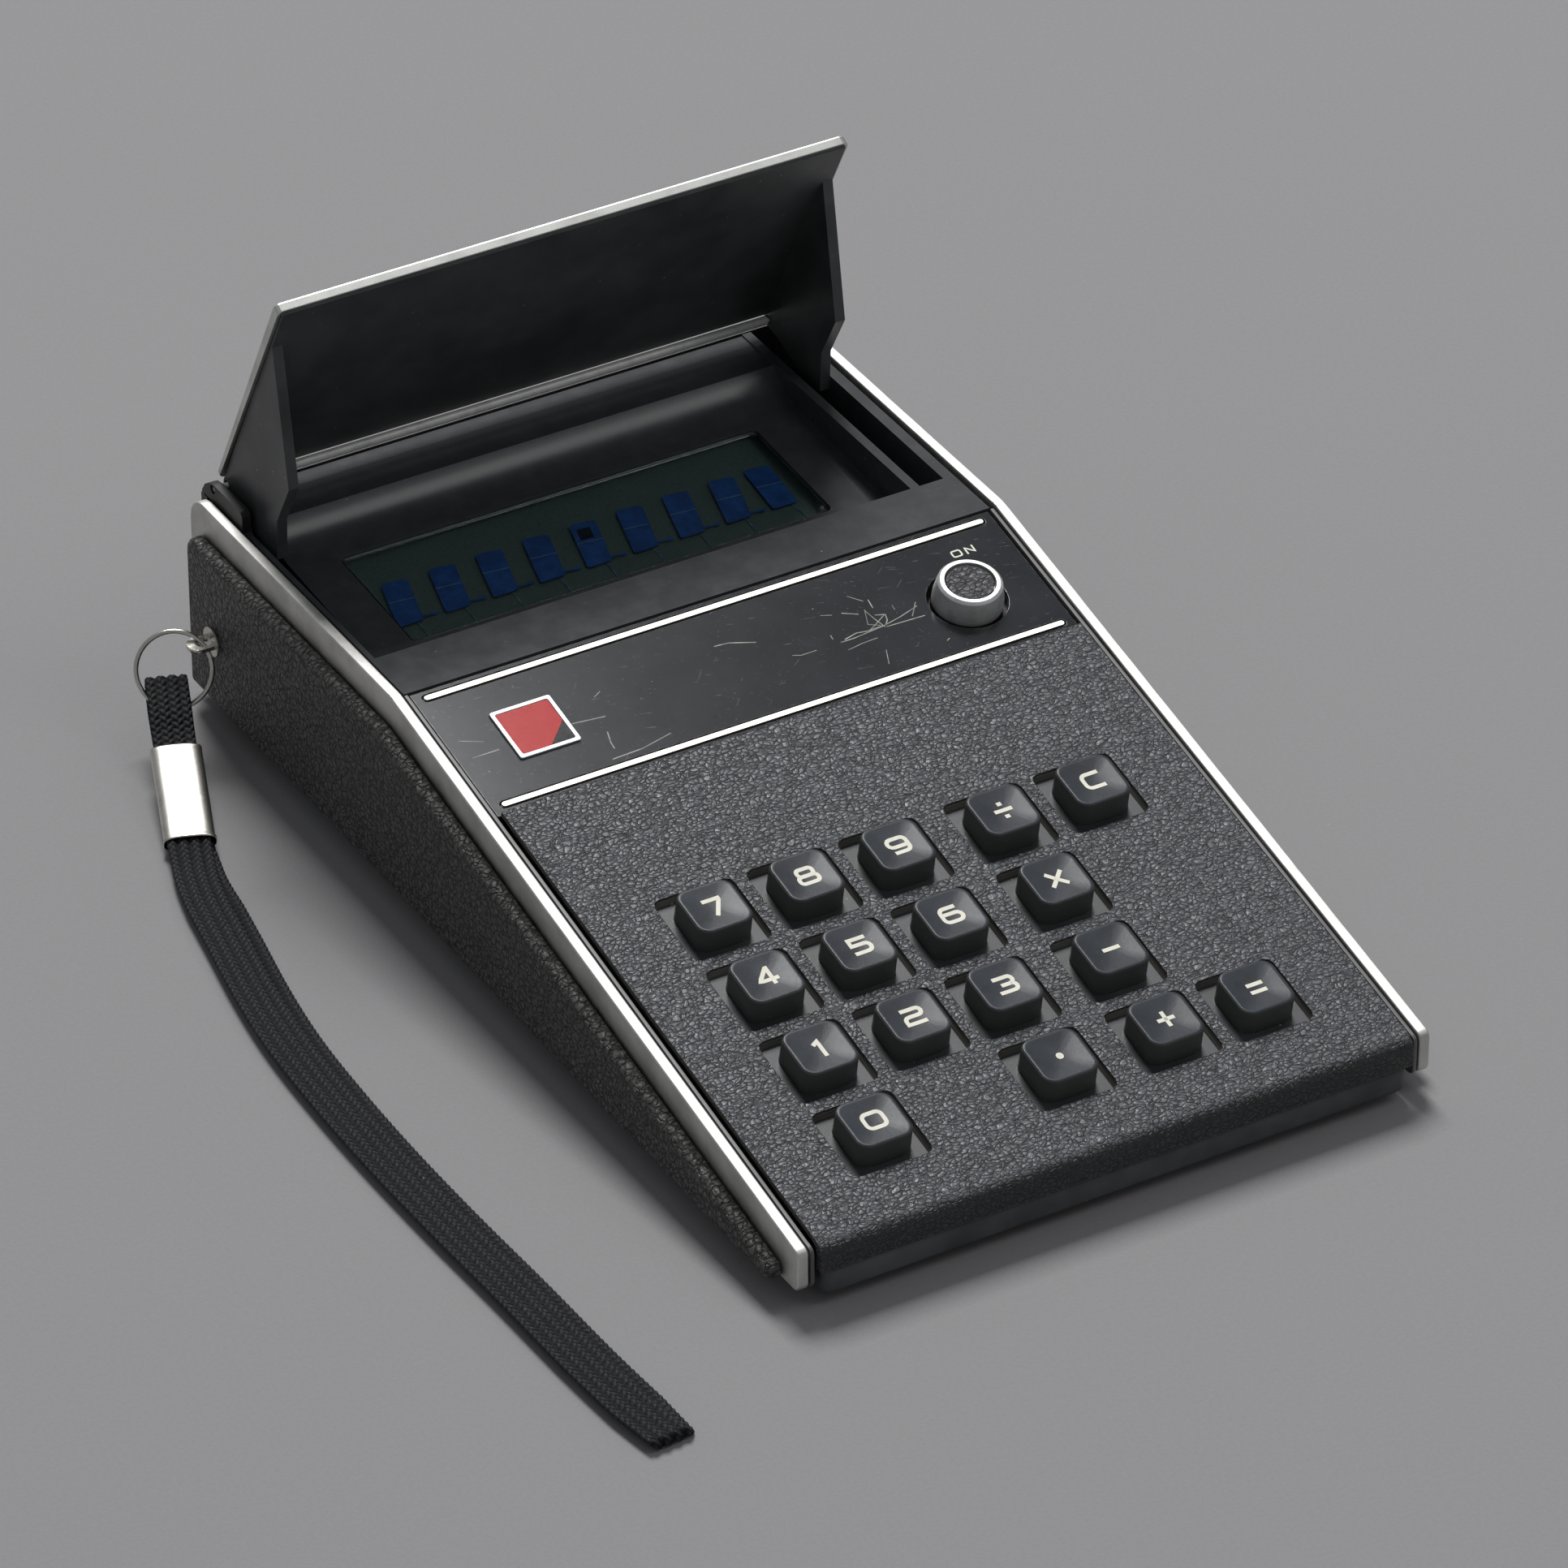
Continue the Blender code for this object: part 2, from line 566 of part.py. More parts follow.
def loft(rings):
    """Closed mesh through rings of equally many points, with flat ends."""
    shape = bmesh.new()
    rows = [[shape.verts.new(place) for place in ring] for ring in rings]
    for lower, upper in zip(rows, rows[1:]):
        for i, corner in enumerate(lower):
            after = (i + 1) % len(lower)
            shape.faces.new((corner, lower[after], upper[after], upper[i]))
    shape.faces.new(list(reversed(rows[0])))
    shape.faces.new(rows[-1])
    bmesh.ops.recalc_face_normals(shape, faces=shape.faces)
    return finish_mesh(shape)


def add_part(name, mesh, material, matrix=None, parent=None):
    mesh.name = name
    mesh.materials.clear()
    mesh.materials.append(material)
    mesh.shade_smooth()
    mesh.set_sharp_from_angle(angle=SMOOTH_ANGLE)
    part = bpy.data.objects.new(name, mesh)
    bpy.data.collections[PARTS].objects.link(part)
    if parent:
        part.parent = parent
    if matrix:
        part.matrix_local = matrix
    return part


def add_cutter(name, mesh, matrix=None):
    cutter = bpy.data.objects.new(name, mesh)
    bpy.data.collections[CUTTERS].objects.link(cutter)
    cutter.hide_render = True
    cutter.display_type = "WIRE"
    if matrix:
        cutter.matrix_local = matrix
    return cutter


def combine(part, name, mesh, operation="DIFFERENCE", matrix=None):
    change = part.modifiers.new(name, "BOOLEAN")
    change.operation = operation
    change.solver = "EXACT"
    change.object = add_cutter(f"{part.name}_{name}", mesh, matrix)
    return change


def soften(part, width, segments=2, angle=BEVEL_ANGLE):
    edge = part.modifiers.new("edge", "BEVEL")
    edge.width = width
    edge.segments = segments
    edge.limit_method = "ANGLE"
    edge.angle_limit = angle
    return edge


def turned(name, profile, material, matrix=None, steps=FINE_SIDES, parent=None):
    """Solid of revolution about its own Z from a profile of radius and height, top to bottom."""
    shape = bmesh.new()
    places = [shape.verts.new((radius, 0, height)) for radius, height in profile]
    for upper, lower in zip(places, places[1:]):
        shape.edges.new((upper, lower))
    part = add_part(name, finish_mesh(shape), material, matrix, parent)
    screw = part.modifiers.new("turn", "SCREW")
    screw.steps = steps
    screw.render_steps = steps
    screw.use_merge_vertices = True
    screw.merge_threshold = WELD
    return part


def key_places():
    """Each key's name with its x and s."""
    for row, names in enumerate(KEY_ROWS):
        for column, name in enumerate(names):
            if name:
                shift = OPERATOR_SHIFT if column >= OPERATOR_COLUMN else 0
                yield name, KEY_LEFT_X + KEY_PITCH * column + shift, KEY_FIRST_S - KEY_PITCH * row


def square_around(x, s, width, radius, steps=KEY_CORNER_STEPS):
    half = width / 2
    return rounded_rectangle(x - half, x + half, s - half, s + half, radius, steps)


def profile_outline(drop, front, rear, bottom, corner, rear_corner):
    """Side outline of the body: level at the display, then down the slope, with its top lowered by drop."""
    return rounded(
        (
            (rear, bottom, corner),
            (rear, DECK_HEIGHT - drop, rear_corner),
            (BEND_Y, DECK_HEIGHT - drop, RAIL_BEND_RADIUS),
            (front, slope_z(front, 0) - drop, corner),
            (front, bottom, corner),
        )
    )


def add_rails(material):
    outline = profile_outline(
        0, FRONT_Y + RAIL_FRONT_INSET, REAR_Y - RAIL_REAR_INSET, RAIL_BOTTOM, RAIL_CORNER, RAIL_REAR_CORNER
    )
    for side, low_x in (("left", -RAIL_OUTER_X), ("right", RAIL_INNER_X)):
        rail = add_part(f"side_rail_{side}", side_plate(outline, low_x, low_x + RAIL_THICKNESS), material)
        soften(rail, RAIL_EDGE)


def add_side_covers(material):
    outline = profile_outline(
        SIDE_COVER_DROP,
        FRONT_Y + SIDE_COVER_FRONT_INSET,
        REAR_Y - SIDE_COVER_REAR_INSET,
        RAIL_BOTTOM + SIDE_COVER_RISE,
        SIDE_COVER_CORNER,
        SIDE_COVER_REAR_CORNER,
    )
    inner_x = SIDE_X - SIDE_COVER_THICKNESS
    for side, low_x, outer in (("left", -SIDE_X, -SIDE_X), ("right", inner_x, SIDE_X)):
        mesh = side_plate(outline, low_x, low_x + SIDE_COVER_THICKNESS)
        round_rim(mesh, outer)
        add_part(f"side_cover_{side}", mesh, material)


def round_rim(mesh, outer_x):
    """Round the edges that lie at one place on X."""
    shape = bmesh.new()
    shape.from_mesh(mesh)
    rim = [edge for edge in shape.edges if all(abs(v.co.x - outer_x) < WELD for v in edge.verts)]
    bmesh.ops.bevel(
        shape, geom=rim, offset=SIDE_COVER_EDGE, segments=3, profile=0.5, affect="EDGES"
    )
    bmesh.ops.remove_doubles(shape, verts=shape.verts, dist=WELD)
    shape.to_mesh(mesh)
    shape.free()


def add_chassis(material):
    """Thin liners that follow the keypad and drop under the display bezel."""
    front = FRONT_Y + RAIL_FRONT_INSET
    rear = BEZEL_REAR_Y
    outline = rounded(
        (
            (rear, RAIL_BOTTOM, RAIL_CORNER),
            (rear, BEZEL_BOTTOM - GAP, 0),
            (BEND_Y - GAP, BEZEL_BOTTOM - GAP, 0),
            (BEND_Y - GAP, slope_z(BEND_Y - GAP, -LINER_DROP), 0),
            (front, slope_z(front, -LINER_DROP), RAIL_CORNER),
            (front, RAIL_BOTTOM, RAIL_CORNER),
        )
    )
    for side, low_x in (("left", -LINER_OUTER_X), ("right", LINER_INNER_X)):
        add_part(f"chassis_{side}", side_plate(outline, low_x, low_x + LINER_THICKNESS), material)


def key_holes(width, corner, low, high):
    """Cutter with one rounded square for each key, past both faces of a layer of the keypad."""
    low = low - OVERRUN
    high = high + OVERRUN
    return joined(filled([square_around(x, s, width, corner)], low, high) for _, x, s in key_places())


def add_key_cover(material):
    """Bent cover: along the keypad, round the front edge and down to the seam."""
    rear_top = keypad_point(0, COVER_REAR_S, COVER_RISE)
    rear_low = keypad_point(0, COVER_REAR_S, COVER_RISE - COVER_WALL)
    inner_y = FRONT_Y + COVER_FRONT_WALL
    low_z = SEAM_HEIGHT + GAP
    inner_radius = COVER_FRONT_RADIUS - COVER_WALL
    outline = rounded(
        (
            (rear_top.y, rear_top.z, 0),
            (FRONT_Y, slope_z(FRONT_Y, COVER_RISE), COVER_FRONT_RADIUS),
            (FRONT_Y, low_z, 0),
            (inner_y, low_z, 0),
            (inner_y, slope_z(inner_y, COVER_RISE - COVER_WALL), inner_radius),
            (rear_low.y, rear_low.z, 0),
        )
    )
    cover = add_part("key_cover", side_plate(outline, -COVER_HALF, COVER_HALF), material)
    low = COVER_RISE - COVER_WALL
    combine(cover, "recesses", key_holes(RECESS_WIDTH, RECESS_CORNER, low, COVER_RISE), matrix=KEYPAD)


def post_places():
    """Posts that carry the keyboard board, beside the mat."""
    post_x = FRAME_HALF - POST_INSET
    for x in (-post_x, post_x):
        for s in (FRAME_FRONT_S + POST_INSET, MAT_REAR_S):
            yield x, s


def add_key_frame(material):
    outline = rounded_rectangle(-FRAME_HALF, FRAME_HALF, FRAME_FRONT_S, FRAME_REAR_S, FRAME_CORNER)
    frame = add_part("key_frame", filled([outline], FRAME_BOTTOM, FRAME_TOP), material, KEYPAD)
    combine(frame, "holes", key_holes(FRAME_HOLE_WIDTH, KEY_CORNER, FRAME_BOTTOM, FRAME_TOP), matrix=KEYPAD)
    posts = [
        rod(POST_RADIUS, KEYBOARD_TOP + GAP, FRAME_TOP - FRAME_WALL / 2, place=place)
        for place in post_places()
    ]
    combine(frame, "posts", joined(posts), "UNION", KEYPAD)


def key_rings():
    """Sections of a key as width and height, from the foot of its stem to its dished top."""
    flange_width = FRAME_HOLE_WIDTH + 2 * KEY_FLANGE_REACH
    flange_bottom = KEY_FLANGE_TOP - KEY_FLANGE
    return (
        (KEY_STEM_WIDTH, KEY_STEM_BOTTOM),
        (KEY_STEM_WIDTH, flange_bottom),
        (flange_width, flange_bottom),
        (flange_width, KEY_FLANGE_TOP),
        (KEY_BASE_WIDTH, KEY_FLANGE_TOP),
        (KEY_BASE_WIDTH, FRAME_TOP),
        (KEY_TOP_WIDTH + 2 * KEY_TOP_RADIUS * (1 - cos(pi / 4)), KEY_TOP - KEY_TOP_RADIUS),
        (KEY_TOP_WIDTH - KEY_TOP_RADIUS, KEY_TOP),
        *((KEY_TOP_WIDTH * wide, KEY_TOP - KEY_DISH * deep) for wide, deep in KEY_DISH_SHARES),
    )


def key_mesh():
    rings = []
    for width, height in key_rings():
        radius = KEY_CORNER * min(1.0, width / KEY_BASE_WIDTH)
        ring = square_around(0, 0, width, radius)
        rings.append([(place.x, place.y, height) for place in ring])
    return loft(rings)


def add_keys(material):
    mesh = key_mesh()
    for name, x, s in key_places():
        place = KEYPAD @ Matrix.Translation((x, s, 0))
        add_part(name, mesh.copy(), material, place)


def add_contact_mat(material):
    sheet = rounded_rectangle(MAT_LEFT_X, MAT_RIGHT_X, MAT_FRONT_S, MAT_REAR_S, FRAME_CORNER)
    mat = add_part("contact_mat", filled([sheet], MAT_BOTTOM, MAT_TOP), material, KEYPAD)
    pads = [
        rod(PAD_WIDTH / 2, MAT_TOP - MAT_WALL / 2, PAD_TOP, sides=PAD_SIDES, place=(x, s))
        for _, x, s in key_places()
    ]
    combine(mat, "pads", joined(pads), "UNION", KEYPAD)


def add_keyboard_board(material):
    half = FRAME_HALF - BOARD_SIDE_INSET
    front = FRAME_FRONT_S + BOARD_SIDE_INSET
    outline = rounded_rectangle(-half, half, front, MAT_REAR_S + POST_INSET, FRAME_CORNER)
    add_part("keyboard_board", filled([outline], KEYBOARD_BOTTOM, KEYBOARD_TOP), material, KEYPAD)


def main_board_posts():
    half = MAIN_BOARD_WIDTH / 2 - POST_INSET
    for x in (-half, half):
        for y in (MAIN_BOARD_FRONT_Y + POST_INSET, MAIN_BOARD_REAR_Y - POST_INSET):
            yield x, y


def add_bottom_case(material):
    """Tray with bosses, board posts, a partition before the cells and an opening for the door."""
    front = FRONT_Y + CASE_FRONT_INSET
    rear = REAR_Y - RAIL_REAR_INSET
    outline = rounded_rectangle(-CASE_HALF, CASE_HALF, front, rear, CASE_CORNER)
    case = add_part("bottom_case", filled([outline], CASE_BOTTOM, SEAM_HEIGHT), material)
    soften(case, CASE_EDGE)
    inner = CASE_HALF - CASE_WALL
    high = SEAM_HEIGHT + OVERRUN
    combine(case, "hollow", box((-inner, front + CASE_WALL, FLOOR_TOP), (inner, rear + OVERRUN, high)))
    rear_low = (-CASE_HALF - OVERRUN, REAR_INNER_Y - GAP, FLOOR_TOP)
    combine(case, "rear", box(rear_low, (CASE_HALF + OVERRUN, rear + OVERRUN, high)))
    boss = SCREW_RADIUS + GAP + BOSS_WALL
    low = CASE_BOTTOM + FLOOR_WALL / 2
    ups = [rod(boss, low, SCREW_TOP + BOSS_WALL, place=(0, SCREW_Y))]
    ups += [rod(POST_RADIUS, low, MAIN_BOARD_BOTTOM - GAP, place=place) for place in main_board_posts()]
    wall_low = (-DOOR_HALF, PARTITION_REAR_Y - PARTITION_WALL, low)
    ups.append(box(wall_low, (DOOR_HALF, PARTITION_REAR_Y, CELL_TOP)))
    combine(case, "uprights", joined(ups), "UNION")
    opening = DOOR_HALF + GAP
    door_low = (-opening, PARTITION_REAR_Y, CASE_BOTTOM - OVERRUN)
    combine(case, "door", box(door_low, (opening, rear + OVERRUN, FLOOR_TOP + OVERRUN)))
    low = CASE_BOTTOM - OVERRUN
    combine(case, "bore", rod(SCREW_RADIUS + GAP, low, SCREW_TOP + GAP, place=(0, SCREW_Y)))
    sink_top = CASE_BOTTOM + SCREW_HEAD + GAP
    combine(case, "sink", rod(SCREW_HEAD_RADIUS + GAP, low, sink_top, place=(0, SCREW_Y)))


def add_screw(material):
    profile = (
        (0, SCREW_LENGTH),
        (SCREW_RADIUS, SCREW_LENGTH),
        (SCREW_RADIUS, SCREW_HEAD),
        (SCREW_HEAD_RADIUS, SCREW_HEAD),
        (SCREW_HEAD_RADIUS, 0),
        (0, 0),
    )
    place = Matrix.Translation((0, SCREW_Y, CASE_BOTTOM))
    turned("case_screw", profile, material, place, steps=ROUND_SIDES)


def add_feet(material):
    """A rubber strip along the front and a round foot on each side of the battery door."""
    low = (-FOOT_STRIP_HALF, FRONT_Y + FOOT_FRONT_INSET, 0)
    high = (FOOT_STRIP_HALF, FRONT_Y + FOOT_FRONT_INSET + FOOT_STRIP_WIDTH, FOOT_HEIGHT)
    add_part("foot_front", box(low, high), material)
    foot_x = CASE_HALF - FOOT_INSET
    for side, x in (("left", -foot_x), ("right", foot_x)):
        mesh = rod(FOOT_RADIUS, 0, FOOT_HEIGHT, sides=FINE_SIDES)
        add_part(f"foot_rear_{side}", mesh, material, Matrix.Translation((x, REAR_Y - FOOT_REAR_INSET, 0)))


def add_main_board(board_material, chip_material):
    half = MAIN_BOARD_WIDTH / 2
    outline = rounded_rectangle(-half, half, MAIN_BOARD_FRONT_Y, MAIN_BOARD_REAR_Y, FRAME_CORNER)
    add_part("main_board", filled([outline], MAIN_BOARD_BOTTOM, MAIN_BOARD_TOP), board_material)
    low = MAIN_BOARD_TOP + GAP
    corner = (-CHIP_LENGTH / 2, CHIP_Y - CHIP_WIDTH / 2, low)
    chip = box(corner, (CHIP_LENGTH / 2, CHIP_Y + CHIP_WIDTH / 2, low + CHIP_HEIGHT))
    add_part("logic_chip", chip, chip_material)


def add_cells(cell_material, contact_material):
    profile = (
        (0, CELL_LENGTH),
        (CELL_NUB_RADIUS, CELL_LENGTH),
        (CELL_NUB_RADIUS, CELL_LENGTH - CELL_NUB),
        (CELL_RADIUS - CELL_EDGE, CELL_LENGTH - CELL_NUB),
        (CELL_RADIUS, CELL_LENGTH - CELL_NUB - CELL_EDGE),
        (CELL_RADIUS, CELL_EDGE),
        (CELL_RADIUS - CELL_EDGE, 0),
        (0, 0),
    )
    middle_z = CELL_BOTTOM + CELL_RADIUS
    for i in range(CELL_COUNT):
        x = (i - (CELL_COUNT - 1) / 2) * CELL_PITCH
        turn = -1 if i % 2 else 1
        start = CELL_FRONT_Y if turn > 0 else CELL_REAR_Y
        place = Matrix.Translation((x, start, middle_z)) @ Matrix.Rotation(-turn * pi / 2, 4, "X")
        turned(f"battery_cell_{i + 1}", profile, cell_material, place, steps=ROUND_SIDES)
    half = CELL_PITCH * (CELL_COUNT - 1) / 2 + CONTACT_WIDTH / 2
    rise = CONTACT_WIDTH / 2
    for end, low_y in (("front", CELL_FRONT_Y - GAP - CONTACT_WALL), ("rear", CELL_REAR_Y + GAP)):
        strip = box((-half, low_y, middle_z - rise), (half, low_y + CONTACT_WALL, middle_z + rise))
        add_part(f"battery_contacts_{end}", strip, contact_material)


def add_battery_door(material):
    """Door whose tongues run over the case floor; it slides out to the rear."""
    reach = DOOR_HALF + DOOR_TONGUE
    outline = (
        (-DOOR_HALF, CASE_BOTTOM),
        (DOOR_HALF, CASE_BOTTOM),
        (DOOR_HALF, DOOR_TONGUE_BOTTOM),
        (reach, DOOR_TONGUE_BOTTOM),
        (reach, DOOR_TOP),
        (-reach, DOOR_TOP),
        (-reach, DOOR_TONGUE_BOTTOM),
        (-DOOR_HALF, DOOR_TONGUE_BOTTOM),
    )
    front = PARTITION_REAR_Y + GAP
    add_part("battery_door", front_plate(outline, front, REAR_Y), material)


def ear_outline():
    front = REAR_Y - EAR_LENGTH
    low = DECK_HEIGHT - EAR_SEAT
    top = DECK_HEIGHT + EAR_RISE
    return rounded(
        (
            (front, low, 0),
            (REAR_INNER_Y + REAR_WALL / 2, low, 0),
            (REAR_INNER_Y + REAR_WALL / 2, REAR_COVER_TOP - EAR_JOIN, 0),
            (REAR_Y, REAR_COVER_TOP - EAR_JOIN, 0),
            (REAR_Y, top, EAR_CORNER),
            (front, top, EAR_FRONT_CORNER),
        )
    )


def add_rear_cover(material):
    low = (-REAR_COVER_HALF, REAR_INNER_Y, REAR_COVER_BOTTOM)
    cover = add_part("rear_cover", box(low, (REAR_COVER_HALF, REAR_Y, REAR_COVER_TOP)), material)
    outline = ear_outline()
    ears = [
        side_plate(outline, EAR_INNER_X, REAR_COVER_HALF),
        side_plate(outline, -REAR_COVER_HALF, -EAR_INNER_X),
    ]
    combine(cover, "ears", joined(ears), "UNION")
    reach = REAR_COVER_HALF + OVERRUN
    bore = rod(PIN_HOLE_RADIUS, -reach, reach, sides=ROUND_SIDES)
    bore.transform(LYING_TURN)
    combine(cover, "bore", bore, matrix=Matrix.Translation((0, HINGE_Y, HINGE_Z)))


def cove_points(grow):
    """Concave stretch between the well's floor and the ledge, moved out by grow."""
    rise = LEDGE_Z - WELL_REAR_Z
    radius = (COVE_LENGTH**2 + rise**2) / (2 * rise)
    end = asin(COVE_LENGTH / radius)
    centre = Vector((WELL_REAR_Y, WELL_REAR_Z + radius))
    steps = 2 * ARC_STEPS
    places = []
    for i in range(steps + 1):
        angle = end * i / steps
        places.append(centre + Vector((sin(angle), -cos(angle))) * (radius + grow))
    return places


def well_outline():
    top = BEZEL_TOP + OVERRUN
    points = [(WELL_FRONT_Y, top), (WELL_FRONT_Y, WELL_FRONT_Z)]
    points += cove_points(0)
    points += [(BEZEL_REAR_Y + OVERRUN, LEDGE_Z), (BEZEL_REAR_Y + OVERRUN, top)]
    return points


def under_outline():
    """Hollow under the band, the well's floor, the cove and the ledge."""
    low = BEZEL_BOTTOM - OVERRUN
    band_z = BEZEL_TOP - BEZEL_BAND_WALL
    wall_y = WELL_FRONT_Y - BEZEL_FRONT_WALL
    points = [
        (BEZEL_FRONT_Y + BEZEL_FRONT_WALL, low),
        (BEZEL_FRONT_Y + BEZEL_FRONT_WALL, band_z),
        (wall_y, band_z),
        (wall_y, WELL_FRONT_Z - BEZEL_WALL),
        (WELL_FRONT_Y, WELL_FRONT_Z - BEZEL_WALL),
    ]
    ledge_low = LEDGE_Z - BEZEL_WALL
    points += [place for place in cove_points(BEZEL_WALL) if place.y < ledge_low]
    rear = BEZEL_REAR_Y + OVERRUN
    points += [(WELL_REAR_Y + COVE_LENGTH + BEZEL_WALL, ledge_low), (rear, ledge_low), (rear, low)]
    return points


def window_outline(inset):
    front = BEND_Y + WINDOW_FRONT
    return rounded_rectangle(
        WINDOW_LEFT_X + inset,
        WINDOW_RIGHT_X - inset,
        front + inset,
        front + WINDOW_LENGTH - inset,
        WINDOW_CORNER,
    )


def add_display_bezel(material):
    low = (-BEZEL_HALF, BEZEL_FRONT_Y, BEZEL_BOTTOM)
    bezel = add_part("display_bezel", box(low, (BEZEL_HALF, BEZEL_REAR_Y, BEZEL_TOP)), material)
    combine(bezel, "well", side_plate(well_outline(), WELL_LEFT_X, WELL_RIGHT_X))
    combine(bezel, "under", side_plate(under_outline(), HOLLOW_LEFT_X, WELL_RIGHT_X))
    slot_rear = BEZEL_REAR_Y + OVERRUN
    slot_top = BEZEL_TOP + OVERRUN
    slots = [
        box(
            (SLOT_OUTER_X - RIGHT_SLOT_WIDTH, WELL_FRONT_Y, SLOT_BOTTOM),
            (SLOT_OUTER_X, slot_rear, slot_top),
        ),
        box(
            (-SLOT_OUTER_X, WELL_FRONT_Y, SLOT_BOTTOM),
            (LEFT_SLOT_WIDTH - SLOT_OUTER_X, slot_rear, slot_top),
        ),
    ]
    combine(bezel, "slots", joined(slots))
    opening = filled([window_outline(0)], WELL_FRONT_Z - BEZEL_WALL - OVERRUN, BEZEL_TOP)
    combine(bezel, "window", opening)


def along_well(mesh):
    """Lay a mesh modelled level at the well's front edge along the well's floor."""
    about = Matrix.Translation((0, WELL_FRONT_Y, WELL_FRONT_Z))
    shear = Matrix.Identity(4)
    shear[2][1] = WELL_TILT
    mesh.transform(about @ shear @ about.inverted())
    return mesh


def add_display(glass, panel_material):
    glass_top = WELL_FRONT_Z - GLASS_DROP
    glass_low = glass_top - GLASS_WALL
    add_part("display_window", along_well(filled([window_outline(GAP)], glass_low, glass_top)), glass)
    digit_top = glass_low - GAP
    backing_top = digit_top - DIGIT_RISE
    backing_low = backing_top - BACKING_WALL
    sheet = window_outline(-BACKING_MARGIN)
    panel = add_part("display_panel", along_well(filled([sheet], backing_low, backing_top)), panel_material)
    flags = []
    for i in range(DIGIT_COUNT):
        x = DIGIT_FIRST_X + DIGIT_PITCH * i
        y = BEND_Y + DIGIT_CENTRE_Y
        corner = (x - DIGIT_WIDTH / 2, y - DIGIT_LENGTH / 2, backing_top - BACKING_WALL / 2)
        flags.append(box(corner, (x + DIGIT_WIDTH / 2, y + DIGIT_LENGTH / 2, digit_top)))
    combine(panel, "digits", along_well(joined(flags)), "UNION")


def stripe_places():
    return (PLATE_REAR_S - STRIPE_INSET, PLATE_FRONT_S + STRIPE_INSET + STRIPE_WIDTH / 2)


def stripe_outline(s, grow):
    half = STRIPE_WIDTH / 2 + grow
    reach = STRIPE_HALF + grow
    return rounded_rectangle(-reach, reach, s - half, s + half, half * END_SHARE, 2)


def add_name_plate(plate, stripe):
    outlines = [
        rounded_rectangle(-PLATE_HALF, PLATE_HALF, PLATE_FRONT_S, PLATE_REAR_S, GAP),
        circle(BUTTON_X, BUTTON_S, BUTTON_HOLE_RADIUS),
    ]
    part = add_part("name_plate", filled(outlines, PLATE_BOTTOM, PLATE_SURFACE), plate, KEYPAD)
    stripe_low = PLATE_SURFACE + STRIPE_PROUD - INLAY_WALL
    groove_low = stripe_low - GAP
    high = PLATE_SURFACE + OVERRUN
    grooves = [filled([stripe_outline(s, GAP)], groove_low, high) for s in stripe_places()]
    combine(part, "inlays", joined(grooves), matrix=KEYPAD)
    stripe_top = PLATE_SURFACE + STRIPE_PROUD
    for end, s in zip(("rear", "front"), stripe_places()):
        mesh = filled([stripe_outline(s, 0)], stripe_low, stripe_top)
        add_part(f"plate_stripe_{end}", mesh, stripe, KEYPAD)


def add_button(cup_material, insert_material, switch_material, spring_material):
    place = KEYPAD @ Matrix.Translation((BUTTON_X, BUTTON_S, 0))
    pocket = BUTTON_TOP_RADIUS - BUTTON_RIM
    bore = pocket - SPRING_CLEARANCE
    ceiling = BUTTON_TOP - INSERT_DROP - INSERT_WALL - GAP
    skirt = BUTTON_TOP - BUTTON_EDGE - BUTTON_SKIRT
    profile = (
        (pocket, ceiling),
        (pocket, BUTTON_TOP),
        (BUTTON_TOP_RADIUS - BUTTON_EDGE, BUTTON_TOP),
        (BUTTON_TOP_RADIUS, BUTTON_TOP - BUTTON_EDGE),
        (BUTTON_BASE_RADIUS, skirt),
        (BUTTON_BASE_RADIUS, BUTTON_FLANGE_TOP),
        (BUTTON_FLANGE_RADIUS, BUTTON_FLANGE_TOP),
        (BUTTON_FLANGE_RADIUS, BUTTON_BOTTOM),
        (bore, BUTTON_BOTTOM),
        (bore, ceiling - BUTTON_FLOOR),
        (0, ceiling - BUTTON_FLOOR),
    )
    turned("button_cup", ((0, ceiling), *profile), cup_material, place)
    insert_top = BUTTON_TOP - INSERT_DROP
    insert = rod(pocket - GAP, insert_top - INSERT_WALL, insert_top, sides=FINE_SIDES)
    add_part("button_insert", insert, insert_material, place)
    add_switch(switch_material)
    add_button_spring(spring_material, place, bore, ceiling - BUTTON_FLOOR - BUTTON_TRAVEL - GAP)


def add_switch(material):
    """Switch body that stands on the main board under the button."""
    front_s = BUTTON_S - SWITCH_DEPTH / 2
    rise = MAIN_BOARD_TOP + GAP - DECK_HEIGHT
    low = (rise - front_s * sin(KEYPAD_SLOPE)) / cos(KEYPAD_SLOPE)
    half = SWITCH_WIDTH / 2
    corner = (BUTTON_X + half, BUTTON_S + SWITCH_DEPTH / 2, SWITCH_TOP)
    switch = add_part("button_switch", box((BUTTON_X - half, front_s, low), corner), material, KEYPAD)
    soften(switch, RAIL_EDGE, segments=1)


def add_button_spring(material, place, bore, top):
    """Return spring, drawn at its pressed length on the switch."""
    radius = bore - SPRING_WIRE - GAP
    low = SWITCH_TOP + GAP + SPRING_WIRE
    high = top - SPRING_WIRE
    count = SPRING_TURNS * SPRING_POINTS
    curve = bpy.data.curves.new("coil", "CURVE")
    curve.dimensions = "3D"
    curve.bevel_depth = SPRING_WIRE
    curve.bevel_resolution = 1
    curve.use_fill_caps = True
    spline = curve.splines.new("POLY")
    spline.points.add(count)
    for i, point in enumerate(spline.points):
        angle = 2 * pi * i / SPRING_POINTS
        height = low + (high - low) * i / count
        point.co = (radius * cos(angle), radius * sin(angle), height, 1)
    add_part("button_spring", mesh_of_curve(curve), material, place)


